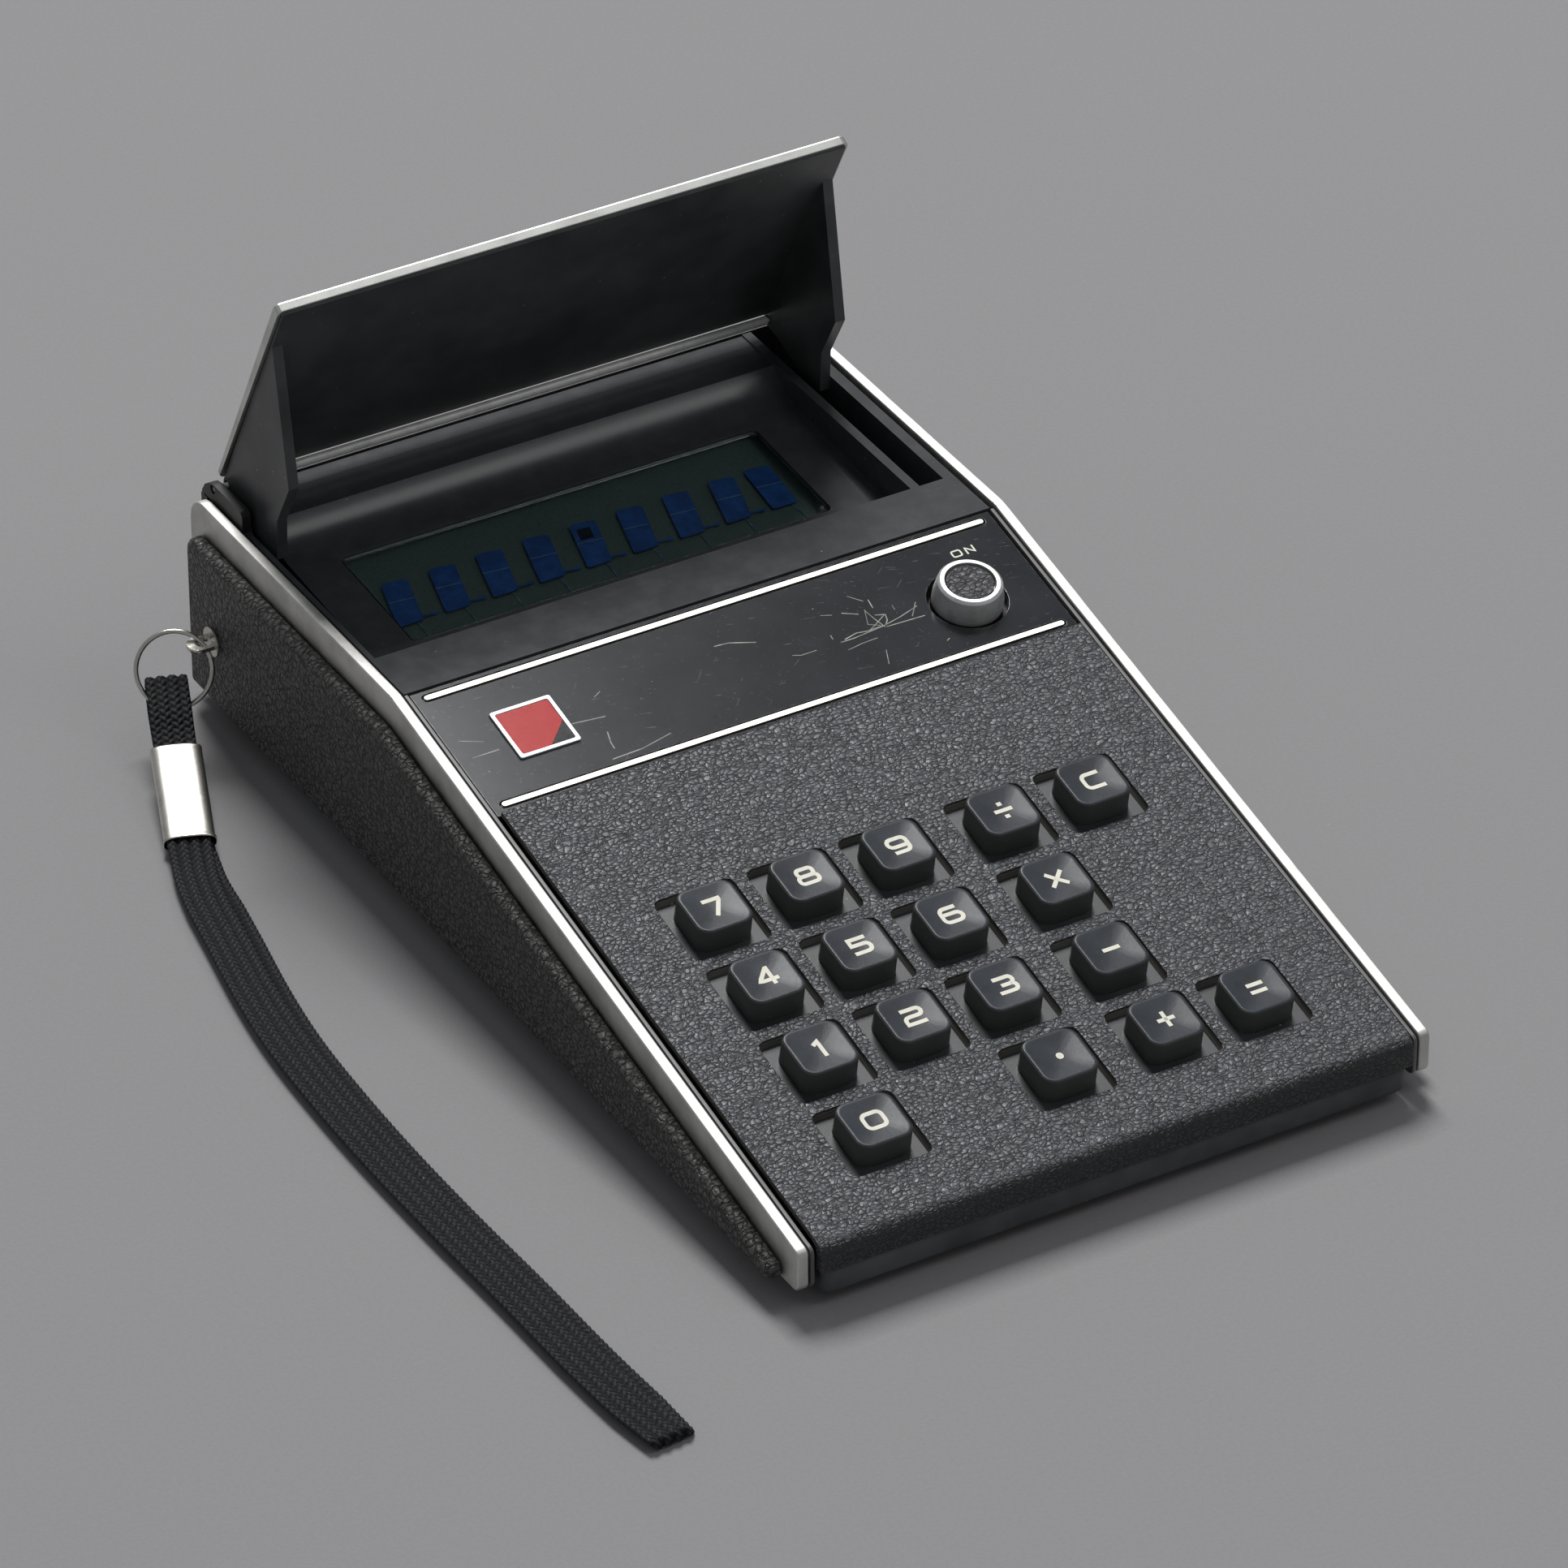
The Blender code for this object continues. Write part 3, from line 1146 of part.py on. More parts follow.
def mesh_of_curve(curve):
    holder = bpy.data.objects.new("curve", curve)
    bpy.context.scene.collection.objects.link(holder)
    graph = bpy.context.evaluated_depsgraph_get()
    mesh = bpy.data.meshes.new_from_object(holder.evaluated_get(graph))
    bpy.data.objects.remove(holder)
    bpy.data.curves.remove(curve)
    shape = bmesh.new()
    shape.from_mesh(mesh)
    bmesh.ops.remove_doubles(shape, verts=shape.verts, dist=WELD)
    bmesh.ops.recalc_face_normals(shape, faces=shape.faces)
    shape.to_mesh(mesh)
    shape.free()
    return mesh


def lid_box(low_x, high_x, low_a, high_a, low_b, high_b):
    return box((low_x, -high_a, -high_b), (high_x, -low_a, -low_b))


def cheek_outline():
    """Cheek outline of a and b, with a round heel about the hinge."""
    heel = -LID_BODY_OUTER_B
    points = [(CHEEK_END, LID_BODY_OUTER_B)]
    angles = [pi / 2 * i / ARC_STEPS for i in range(ARC_STEPS + 1)]
    points += [(-heel * sin(angle), -heel * cos(angle)) for angle in angles]
    points += [(0, CHEEK_FOOT), CHEEK_HEEL, CHEEK_TIP, CHEEK_STEP, CHEEK_NOTCH, CHEEK_KNEE]
    points.append((CHEEK_END, LID_BODY_INNER_B))
    return [(-a, -b) for a, b in points]


def add_lid(plate_material, body_material, rod_material):
    pivot = bpy.data.objects.new("lid_pivot", None)
    bpy.data.collections[PARTS].objects.link(pivot)
    pivot.matrix_local = LID
    bottom = LID_HEEL
    plate = lid_box(
        -LID_HALF, LID_HALF, -bottom, LID_LENGTH - bottom, LID_PLATE_OUTER_B, LID_PLATE_INNER_B
    )
    soften(add_part("lid_plate", plate, plate_material, parent=pivot), LID_EDGE)
    top = LID_LENGTH - bottom - LID_EDGE_INSET
    slab = lid_box(-CHEEK_OUTER_X, CHEEK_OUTER_X, LID_BODY_START, top, LID_BODY_OUTER_B, LID_BODY_INNER_B)
    body = add_part("lid_body", slab, body_material, parent=pivot)
    outline = cheek_outline()
    cheeks = [
        side_plate(outline, CHEEK_INNER_X, CHEEK_OUTER_X),
        side_plate(outline, -CHEEK_OUTER_X, -CHEEK_INNER_X),
    ]
    combine(body, "cheeks", joined(cheeks), "UNION", LID)
    reach = CHEEK_OUTER_X + OVERRUN
    bore = rod(PIN_HOLE_RADIUS, -reach, reach, sides=ROUND_SIDES)
    bore.transform(LYING_TURN)
    combine(body, "bore", bore, matrix=LID)
    add_lid_rod(rod_material)


def add_lid_rod(material):
    shoulder = CHEEK_INNER_X - GAP
    end = REAR_COVER_HALF - GAP
    profile = (
        (0, end),
        (ROD_PIN_RADIUS, end),
        (ROD_PIN_RADIUS, shoulder),
        (ROD_RADIUS, shoulder),
        (ROD_RADIUS, -shoulder),
        (ROD_PIN_RADIUS, -shoulder),
        (ROD_PIN_RADIUS, -end),
        (0, -end),
    )
    place = Matrix.Translation((0, HINGE_Y, HINGE_Z)) @ LYING_TURN
    turned("lid_rod", profile, material, place, steps=ROUND_SIDES)


def ring_axes():
    """Unit vectors of the ring: from the tab's hole to its centre, along its wire there, and its axis."""
    axis = RING_AXIS.normalized()
    down = (RING_DOWN - axis * RING_DOWN.dot(axis)).normalized()
    return down, axis.cross(down), axis


def ring_centre():
    return TAB_HOLE + ring_axes()[0] * RING_RADIUS


def add_eyelet(material):
    """Disc on the side cover with a level tab that has a hole for the ring."""
    disc_low = -SIDE_X - GAP
    disc = rod(EYELET_RADIUS, -EYELET_WALL, 0, sides=FINE_SIDES)
    disc.transform(LYING_TURN)
    eyelet = add_part("strap_eyelet", disc, material, Matrix.Translation((disc_low, EYELET_Y, EYELET_Z)))
    far = -SIDE_X - TAB_LENGTH
    near = disc_low - EYELET_WALL / 2
    outline = rounded(
        (
            (far, EYELET_Y - TAB_HALF, TAB_HALF * END_SHARE),
            (near, EYELET_Y - TAB_HALF, 0),
            (near, EYELET_Y + TAB_HALF, 0),
            (far, EYELET_Y + TAB_HALF, TAB_HALF * END_SHARE),
        )
    )
    hole = circle(TAB_HOLE.x, TAB_HOLE.y, TAB_HOLE_RADIUS, ROUND_SIDES)
    tab = filled([outline, hole], EYELET_Z - TAB_WALL / 2, EYELET_Z + TAB_WALL / 2)
    combine(eyelet, "tab", tab, "UNION")


def add_ring(material, pivot):
    down, _, axis = ring_axes()
    centre = ring_centre()
    curve = bpy.data.curves.new("ring", "CURVE")
    curve.dimensions = "3D"
    curve.bevel_depth = RING_WIRE
    curve.bevel_resolution = 2
    spline = curve.splines.new("POLY")
    spline.points.add(RING_STEPS - 1)
    across = axis.cross(down)
    for i, point in enumerate(spline.points):
        angle = 2 * pi * i / RING_STEPS
        place = centre + (across * sin(angle) - down * cos(angle)) * RING_RADIUS - pivot.location
        point.co = (*place, 1)
    spline.use_cyclic_u = True
    add_part("strap_ring", mesh_of_curve(curve), material, parent=pivot)


def add_clamp(material, pivot):
    """Flat sleeve that holds the strap's legs, open at both ends."""
    half = STRAP_WIDTH / 2 + GAP
    rise = LAYERS_HEIGHT / 2 + GAP
    grow = CLAMP_WALL
    outer = rounded_rectangle(-half - grow, half + grow, -rise - grow, rise + grow, CLAMP_CORNER)
    inner = rounded_rectangle(-half, half, -rise, rise, CLAMP_CORNER - grow)
    mesh = filled([outer, inner], -CLAMP_LENGTH, 0)
    mesh.transform(CLAMP @ FRONT_TURN)
    mesh.transform(Matrix.Translation(-pivot.location))
    add_part("strap_clamp", mesh, material, parent=pivot)


def smooth_path(points, steps):
    """Places at even shares of a smooth curve through points."""
    places = [Vector(point) for point in points]
    places = [2 * places[0] - places[1], *places, 2 * places[-1] - places[-2]]
    count = len(places) - 3
    path = []
    for i in range(steps + 1):
        k = min(i * count // steps, count - 1)
        u = i / steps * count - k
        a, b, c, d = places[k : k + 4]
        square = 2 * a - 5 * b + 4 * c - d
        cube = 3 * b - a - 3 * c + d
        path.append((2 * b + (c - a) * u + square * u**2 + cube * u**3) / 2)
    return path


def band(path, sides, width, wall):
    """Flat band swept along a path; sides are the unit vectors across it."""
    rings = []
    for i, (place, side) in enumerate(zip(path, sides)):
        ahead = path[min(i + 1, len(path) - 1)] - path[max(i - 1, 0)]
        up = ahead.cross(side).normalized()
        across = side * (width / 2)
        thick = up * (wall / 2)
        low, high = place - thick, place + thick
        rings.append((low - across, low + across, high + across, high - across))
    return loft(rings)


def add_bight(material, pivot):
    """Loop of braid from the clamp round the ring's wire and back."""
    start = Matrix.Translation((0, CLAMP_LENGTH, 0))
    spine = smooth_path(BIGHT_SPINE, BIGHT_STEPS)
    legs = {-1: [], 1: []}
    for i, place in enumerate(spine):
        after = spine[min(i + 1, BIGHT_STEPS)]
        before = spine[max(i - 1, 0)]
        ahead = Vector((after.x - before.x, after.y - before.y)).normalized()
        for leg in legs:
            away = leg * place.z
            legs[leg].append(Vector((0, place.x - ahead.y * away, place.y + ahead.x * away)))
    ahead = Vector((0, ahead.x, ahead.y))
    up = Vector((0, -ahead.z, ahead.y))
    tip = Vector((0, spine[-1].x, spine[-1].y))
    reach = spine[-1].z
    turns = [pi * i / STRAP_FOLD_STEPS for i in range(1, STRAP_FOLD_STEPS)]
    fold = [tip + (ahead * sin(a) - up * cos(a)) * reach for a in turns]
    path = [CLAMP @ start @ place for place in [*legs[-1], *fold, *reversed(legs[1])]]
    side = (CLAMP.to_3x3() @ Vector((1, 0, 0))).normalized()
    mesh = band(path, [side] * len(path), BIGHT_WIDTH, STRAP_WALL)
    mesh.transform(Matrix.Translation(-pivot.location))
    add_part("strap_bight", mesh, material, parent=pivot)


def splay_at(along, total):
    """How far apart sideways the two layers lie at a distance from the clamp."""
    opening = min(1.0, max(0.0, along / STRAP_SPLAY_LENGTH))
    closing = min(1.0, (total - along) / STRAP_FOLD_LENGTH)
    return STRAP_SPLAY * opening * (1 + closing) / 2


def strap_route():
    """Middle line of the strap: down the lower layer, round the fold and back along the upper one."""
    spine = smooth_path(STRAP_SPINE, STRAP_STEPS)
    lengths = [0.0]
    for before, after in zip(spine, spine[1:]):
        lengths.append(lengths[-1] + (after - before).length)
    total = lengths[-1]
    lower, upper = [], []
    for i, place in enumerate(spine):
        ahead = spine[min(i + 1, STRAP_STEPS)] - spine[max(i - 1, 0)]
        side = Vector((0, 0, 1)).cross(ahead).normalized()
        up = ahead.cross(side).normalized()
        apart = splay_at(lengths[i], total) / 2
        lower.append((place + side * apart - up * LAYER_PITCH / 2, side))
        upper.append((place - side * apart + up * LAYER_PITCH / 2, side))
    ahead = ahead.normalized()
    fold = []
    for i in range(1, STRAP_FOLD_STEPS):
        angle = pi * i / STRAP_FOLD_STEPS
        middle = lower[-1][0].lerp(upper[-1][0], (1 - cos(angle)) / 2)
        fold.append((middle + ahead * sin(angle) * LAYER_PITCH / 2, side))
    return [*lower, *fold, *reversed(upper)]


def add_strap(material, pivot):
    route = strap_route()
    mesh = band([place for place, _ in route], [side for _, side in route], STRAP_WIDTH, STRAP_WALL)
    mesh.transform(Matrix.Translation(-pivot.location))
    add_part("wrist_strap", mesh, material, parent=pivot)


def main():
    clear_scene()
    new_collection(PARTS)
    new_collection(CUTTERS)
    aluminium = new_material("satin aluminium", (0.62, 0.62, 0.61), 0.38, 1.0)
    grain = new_material("black grained plastic", (0.025, 0.025, 0.028), 0.55)
    smooth = new_material("black smooth plastic", (0.02, 0.02, 0.022), 0.4)
    dark_grey = new_material("dark grey plastic", (0.035, 0.035, 0.038), 0.5)
    add_rails(aluminium)
    add_side_covers(grain)
    add_chassis(smooth)
    add_key_cover(grain)
    add_key_frame(dark_grey)
    add_keys(new_material("black key plastic", (0.02, 0.02, 0.02), 0.3))
    board = new_material("circuit board", (0.03, 0.12, 0.06), 0.6)
    add_contact_mat(new_material("grey rubber", (0.2, 0.2, 0.2), 0.8))
    add_keyboard_board(board)
    add_bottom_case(smooth)
    steel = new_material("bright steel", (0.6, 0.6, 0.6), 0.25, 1.0)
    rubber = new_material("black rubber", (0.02, 0.02, 0.02), 0.9)
    add_screw(steel)
    add_feet(rubber)
    add_main_board(board, smooth)
    add_cells(new_material("cell sleeve", (0.25, 0.25, 0.27), 0.35), steel)
    add_battery_door(smooth)
    add_rear_cover(smooth)
    add_display_bezel(dark_grey)
    glass = new_material("display glass", (0.05, 0.06, 0.06), 0.08)
    add_display(glass, new_material("dark blue display", (0.01, 0.02, 0.08), 0.3))
    plate = new_material("black satin metal", (0.015, 0.015, 0.017), 0.3, 0.3)
    add_name_plate(plate, steel)
    add_button(aluminium, grain, smooth, steel)
    add_lid(aluminium, dark_grey, steel)
    add_eyelet(steel)
    ring_pivot = bpy.data.objects.new("ring_pivot", None)
    bpy.data.collections[PARTS].objects.link(ring_pivot)
    ring_pivot.location = TAB_HOLE
    add_ring(steel, ring_pivot)
    add_clamp(steel, ring_pivot)
    braid = new_material("black braid", (0.03, 0.03, 0.032), 0.85)
    add_bight(braid, ring_pivot)
    add_strap(braid, ring_pivot)


main()
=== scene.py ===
"""Looks of a hand-held electronic calculator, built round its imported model."""

from math import atan2, cos, hypot, pi, radians, sin

import bmesh
import bpy
import numpy as np
from mathutils import Matrix, Vector


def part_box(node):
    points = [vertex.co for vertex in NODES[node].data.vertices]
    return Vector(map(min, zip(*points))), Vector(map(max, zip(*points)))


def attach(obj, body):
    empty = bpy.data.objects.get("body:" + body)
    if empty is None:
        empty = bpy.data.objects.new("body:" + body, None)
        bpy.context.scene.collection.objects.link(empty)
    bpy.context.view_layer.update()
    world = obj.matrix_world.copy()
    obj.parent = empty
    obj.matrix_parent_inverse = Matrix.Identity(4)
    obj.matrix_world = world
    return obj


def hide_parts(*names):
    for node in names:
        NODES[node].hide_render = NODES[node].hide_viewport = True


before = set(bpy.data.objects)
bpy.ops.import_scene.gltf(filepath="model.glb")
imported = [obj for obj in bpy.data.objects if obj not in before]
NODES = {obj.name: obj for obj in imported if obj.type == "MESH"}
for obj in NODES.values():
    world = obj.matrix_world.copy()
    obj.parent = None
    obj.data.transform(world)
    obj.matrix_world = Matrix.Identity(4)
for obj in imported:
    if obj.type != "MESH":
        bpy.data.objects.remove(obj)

for leftover in ("Cube", "Light", "Camera"):
    if leftover in bpy.data.objects:
        bpy.data.objects.remove(bpy.data.objects[leftover])
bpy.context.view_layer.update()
MM = 0.001

# Keypad plane: places on it are x, s towards the rear along the slope and h square to it
DECK_HEIGHT = 34.5
BEND_Y = 27.1
KEYPAD_RUN = 117.0
FRONT_HEIGHT = 10.06
KEYPAD_SLOPE = atan2(DECK_HEIGHT - FRONT_HEIGHT, KEYPAD_RUN)
KEYPAD_UP = (0.0, -sin(KEYPAD_SLOPE), cos(KEYPAD_SLOPE))
KEYPAD = Matrix.Translation((0, BEND_Y * MM, DECK_HEIGHT * MM)) @ Matrix.Rotation(KEYPAD_SLOPE, 4, "X")

# Stretch in which the key cover begins to roll over the front edge
FRONT_ROLL_Y = (-88.0, -86.0)

# Keys, in millimetres
KEY_TOP = 3.3
KEY_FLAT_HALF = 4.12
KEY_FLAT_CORNER = 1.6
KEY_EDGE = 0.34
KEY_BASE_HALF = 4.55
KEY_DISH = 0.24
KEY_FLANGE_HALF = 5.0
KEY_FLANGE = (-2.8, -2.2)
KEY_STEM_HALF = 2.0
KEY_STEM_BOTTOM = -3.2
LEGEND_WIDER = 1.25
LEGEND_LONGER = 1.36
KEY_PITCH = 15.0
KEY_LEFT_X = -31.0
OPERATOR_COLUMN = 3
OPERATOR_SHIFT = 2.4
KEY_FIRST_S = -58.3
KEY_ROWS = (
    ("key_7", "key_8", "key_9", "key_divide", "key_clear"),
    ("key_4", "key_5", "key_6", "key_multiply", None),
    ("key_1", "key_2", "key_3", "key_minus", None),
    ("key_0", None, "key_point", "key_plus", "key_equals"),
)

# Fillet at the foot of a recess wall: each ring's growth from the recess's outline and drop below the cover
RECESS_HALF = 6.45
RECESS_CORNER = 1.3
FILLET_STATIONS = (
    (0.0, 0.02),
    (-0.1, 0.2),
    (-0.22, 0.5),
    (-0.44, 0.68),
    (-0.44, 0.72),
    (0.3, 0.72),
    (0.3, 0.02),
)

# Wrist strap: the same route as the model's cord
STRAP_WIDTH = 6.8
STRAP_WALL = 0.85
STRAP_SPLAY = 2.2
STRAP_SPLAY_LENGTH = 20.0
STRAP_FOLD_LENGTH = 8.0
LAYER_PITCH = 1.15
STRAP_SPINE = (
    (-71.07, 54.77, 2.72),
    (-72.47, 51.13, 1.84),
    (-73.70, 47.00, 1.20),
    (-75.40, 41.00, 1.06),
    (-78.00, 27.00, 1.06),
    (-80.60, 13.00, 1.06),
    (-82.30, 0.00, 1.06),
    (-83.10, -14.00, 1.06),
    (-83.40, -30.00, 1.06),
    (-83.10, -48.00, 1.06),
    (-82.40, -66.00, 1.06),
    (-81.90, -84.00, 1.06),
    (-81.20, -96.00, 1.06),
    (-80.50, -104.60, 1.06),
)
BIGHT_WIDTH = 6.6
BIGHT_SPINE = (
    (-4.0, 0.0, 0.575),
    (0.0, 0.0, 0.575),
    (3.0, 0.15, 0.9),
    (6.0, 0.45, 1.5),
    (8.8, 0.75, 1.75),
    (11.4, 1.6, 1.3),
)
CLAMP_MOUTH = Vector((-72.47, 51.13, 1.84))
CLAMP_HEADING = radians(21.0)
CLAMP_TILT = radians(12.7)
CLAMP_LENGTH = 18.7
CLAMP_HALF = 4.0
CLAMP_RISE = 1.6
CLAMP_WALL = 0.3
CLAMP_LIP = 0.16
CLAMP_FLATNESS = 3.0
CLAMP_SIDES = 64
CLAMP = (
    Matrix.Translation(CLAMP_MOUTH)
    @ Matrix.Rotation(-CLAMP_HEADING, 4, "Z")
    @ Matrix.Rotation(CLAMP_TILT, 4, "X")
)
TAB_HOLE = Vector((-55.9, 78.1, 15.7))
RING_RADIUS = 5.675
RING_WIRE = 0.375
RING_DOWN = Vector((-0.835, 0.053, -0.547))
RING_AXIS = Vector((-0.415, -0.713, 0.566))
RING_STEPS = 180
WIRE_SIDES = 16
RING_JOINT = radians(70)
RING_JOINT_HALF = radians(1.2)
RING_JOINT_SHARE = 0.86

# Braid of the strap, in millimetres
YARN_PITCH = 1.15
YARN_LONG = 0.74
YARN_BROAD = 0.36
YARN_SLANT = radians(38)
YARN_RISE = 0.26
BRAID_RIDGE_RISE = 0.15
BRAID_COLUMNS = 16
BRAID_SIDES = 104
BRAID_STEP = 0.16
BRAID_ROUTE_STEPS = 880
BRAID_FOLD_STEPS = 24
LOOP_ROUTE_STEPS = 120
CORD_ROUTE_STEPS = 26
CORD_FOLD_STEPS = 3


def tone(red, green, blue):
    """Scene colour for a tone written in screen values from 0 to 255."""
    values = []
    for value in (red, green, blue):
        share = value / 255
        values.append(share / 12.92 if share <= 0.04045 else ((share + 0.055) / 1.055) ** 2.4)
    return (*values, 1.0)


# Short ways to place shader nodes


def put(tree, kind, settings=None, **inputs):
    """Place a node, set its own settings, and fill or link its inputs by name or number."""
    made = tree.nodes.new("ShaderNode" + kind)
    for key, value in (settings or {}).items():
        setattr(made, key, value)
    for key, value in inputs.items():
        socket = made.inputs[int(key[1:])] if key[1:].isdigit() else made.inputs[key.replace("_", " ")]
        if isinstance(value, bpy.types.NodeSocket):
            tree.links.new(value, socket)
        else:
            socket.default_value = value
    return made


def maths(tree, operation, *values):
    """Result of a Math node."""
    inputs = {f"i{i}": value for i, value in enumerate(values)}
    return put(tree, "Math", {"operation": operation}, **inputs).outputs[0]


def vectors(tree, operation, *values, out=0, **named):
    """Result of a Vector Math node: its vector, or its number when out is 1."""
    inputs = {f"i{i}": value for i, value in enumerate(values)}
    return put(tree, "VectorMath", {"operation": operation}, **inputs, **named).outputs[out]


def ramp(tree, value, low, high, to_low=0.0, to_high=1.0):
    """Smooth step of a value from one range to another."""
    return put(
        tree,
        "MapRange",
        {"interpolation_type": "SMOOTHSTEP"},
        Value=value,
        From_Min=low,
        From_Max=high,
        To_Min=to_low,
        To_Max=to_high,
    ).outputs[0]


def mixed(tree, share, one, other):
    """Colour between one and another by a share from 0 to 1."""
    made = put(tree, "Mix", {"data_type": "RGBA", "blend_type": "MIX", "clamp_factor": True})
    for index, value in ((0, share), (6, one), (7, other)):
        if isinstance(value, bpy.types.NodeSocket):
            tree.links.new(value, made.inputs[index])
        else:
            made.inputs[index].default_value = value
    return made.outputs[2]


def tinted(tree, colour, mask, share, shade):
    """Colour with a share of another shade where a mask shows."""
    return mixed(tree, maths(tree, "MULTIPLY", mask, share), colour, shade)


def noise(tree, place, scale, detail=2.0, roughness=0.5, distortion=0.0, out=0):
    """Soft noise over a place: its number, or its colour when out is 1."""
    return put(
        tree,
        "TexNoise",
        Vector=place,
        Scale=scale,
        Detail=detail,
        Roughness=roughness,
        Distortion=distortion,
    ).outputs[out]


def effect(name, inputs, build):
    """Shader node group with named inputs; build gives its named outputs."""
    tree = bpy.data.node_groups.new(name, "ShaderNodeTree")
    for title, value in inputs.items():
        kind = "NodeSocketVector" if title == "Place" else "NodeSocketFloat"
        socket = tree.interface.new_socket(name=title, in_out="INPUT", socket_type=kind)
        if title != "Place":
            socket.default_value = value
    entry = tree.nodes.new("NodeGroupInput")
    outputs = build(tree, {title: entry.outputs[title] for title in inputs})
    leave = tree.nodes.new("NodeGroupOutput")
    for title, value in outputs.items():
        tree.interface.new_socket(name=title, in_out="OUTPUT", socket_type="NodeSocketFloat")
        tree.links.new(value, leave.inputs[title])
    return tree


def use(tree, group, place=None, **inputs):
    """Place an effect in a material with its own values."""
    made = tree.nodes.new("ShaderNodeGroup")
    made.node_tree = group
    if place is not None:
        tree.links.new(place, made.inputs["Place"])
    for key, value in inputs.items():
        socket = made.inputs[key.replace("_", " ")]
        if isinstance(value, bpy.types.NodeSocket):
            tree.links.new(value, socket)
        else:
            socket.default_value = value
    return made.outputs


# Effects that several finishes share


def build_leather(tree, given):
    """Pebbled leather: rounded cells with creases between them, longer across the body than along it; its
    light-and-shade mask paints the crowns lighter as highlight and the creases darker as shade.
    """
    place, cell = given["Place"], given["Cell"]
    scaled = vectors(tree, "MULTIPLY", place, (0.72, 1.0, 1.0))
    drift = noise(tree, scaled, 0.55, 2, out=1)
    drift = vectors(tree, "SCALE", vectors(tree, "SUBTRACT", drift, (0.5, 0.5, 0.5)), Scale=given["Wander"])
    bent = vectors(tree, "ADD", scaled, drift)
    density = maths(tree, "DIVIDE", 1.0, cell)
    cells = put(tree, "TexVoronoi", {"feature": "SMOOTH_F1"}, Vector=bent, Scale=density, Smoothness=0.35)
    dome = maths(tree, "SUBTRACT", 1.0, maths(tree, "POWER", cells.outputs["Distance"], 1.6))
    edges = put(tree, "TexVoronoi", {"feature": "DISTANCE_TO_EDGE"}, Vector=bent, Scale=density)
    crease = ramp(tree, edges.outputs["Distance"], 0.0, 0.16)
    wrinkle = noise(tree, vectors(tree, "MULTIPLY", bent, (0.5, 1.5, 1.5)), 1.5, 3, 0.6)
    fine = noise(tree, bent, 5.5, 2, 0.6)
    height = maths(tree, "MULTIPLY_ADD", dome, 0.6, maths(tree, "MULTIPLY", crease, 0.6))
    height = maths(tree, "MULTIPLY_ADD", wrinkle, 0.7, height)
    height = maths(tree, "MULTIPLY_ADD", fine, 0.28, height)
    # Mask for painted highlight on the crowns and swells and painted shade in the creases
    crown = ramp(tree, dome, 0.5, 0.95)
    grain_light_and_shade = maths(tree, "MULTIPLY_ADD", crown, 0.5, maths(tree, "MULTIPLY", crease, 0.5))
    swell = ramp(tree, wrinkle, 0.3, 0.7)
    grain_light_and_shade = maths(tree, "MULTIPLY_ADD", swell, 0.8, maths(tree, "MULTIPLY", grain_light_and_shade, 0.6))
    return {"Height": height, "Crease": maths(tree, "SUBTRACT", 1.0, crease), "Pebble": grain_light_and_shade}


def build_wear_and_edge_highlight(tree, given):
    """Rubbed edges: where the surface turns away within a short reach, broken up by noise; the unbroken edge
    mask also serves for painted edge highlights.
    """
    rounded = put(tree, "Bevel", {"samples": 4}, Radius=given["Reach"]).outputs[0]
    flat = put(tree, "NewGeometry").outputs["Normal"]
    turn = maths(tree, "SUBTRACT", 1.0, vectors(tree, "DOT_PRODUCT", rounded, flat, out=1))
    edge = ramp(tree, turn, 0.015, 0.16)
    patchy = ramp(tree, noise(tree, given["Place"], given["Patches"], 4, 0.65), 0.38, 0.62)
    return {"Wear": maths(tree, "MULTIPLY", edge, patchy), "Edge": edge}


def build_scratches(tree, given):
    """Fine hairlines along one direction, bent a little and broken into lengths."""
    place = given["Place"]
    turned = put(
        tree, "VectorRotate", {"rotation_type": "Z_AXIS"}, Vector=place, Angle=given["Turn"]
    ).outputs[0]
    bend = noise(tree, turned, 0.12, 1, out=1)
    turned = vectors(tree, "ADD", turned, vectors(tree, "SCALE", bend, Scale=given["Bend"]))
    lines = noise(tree, vectors(tree, "MULTIPLY", turned, (0.09, 4.2, 4.2)), 1.0, 2, 0.7)
    share = maths(tree, "SUBTRACT", 0.80, maths(tree, "MULTIPLY", given["Amount"], 0.22))
    mask = ramp(tree, lines, share, maths(tree, "ADD", share, 0.045))
    return {"Lines": mask}


def build_dust(tree, given):
    """Scattered specks, one in some of the cells."""
    cells = put(tree, "TexVoronoi", Vector=given["Place"], Scale=given["Density"])
    pick = put(tree, "SeparateColor", Color=cells.outputs["Color"])
    chosen = maths(tree, "LESS_THAN", pick.outputs[0], given["Amount"])
    size = maths(tree, "MULTIPLY", given["Size"], maths(tree, "ADD", 0.35, pick.outputs[1]))
    speck = ramp(tree, cells.outputs["Distance"], size, maths(tree, "MULTIPLY", size, 0.55))
    return {"Specks": maths(tree, "MULTIPLY", chosen, speck)}


def build_grime(tree, given):
    """Dirt that gathers in corners: little open space within a short reach, broken up by noise."""
    hollow = put(tree, "AmbientOcclusion", {"samples": 4}, Distance=given["Reach"]).outputs["AO"]
    closed = ramp(tree, hollow, 0.75, 0.3)
    patchy = ramp(tree, noise(tree, given["Place"], given["Patches"], 4, 0.7), 0.42, 0.68)
    return {"Grime": maths(tree, "MULTIPLY", closed, patchy), "Hollow": closed}


def build_blast(tree, given):
    """Bead-blasted metal: fine pits with slow cloudiness."""
    place = given["Place"]
    pits = noise(tree, place, given["Density"], 3, 0.75)
    specks = ramp(tree, noise(tree, place, given["Density"], 1, 0.5, 0.3), 0.62, 0.72)
    clouds = noise(tree, place, 0.12, 3, 0.6)
    return {"Pits": pits, "Specks": specks, "Clouds": clouds}


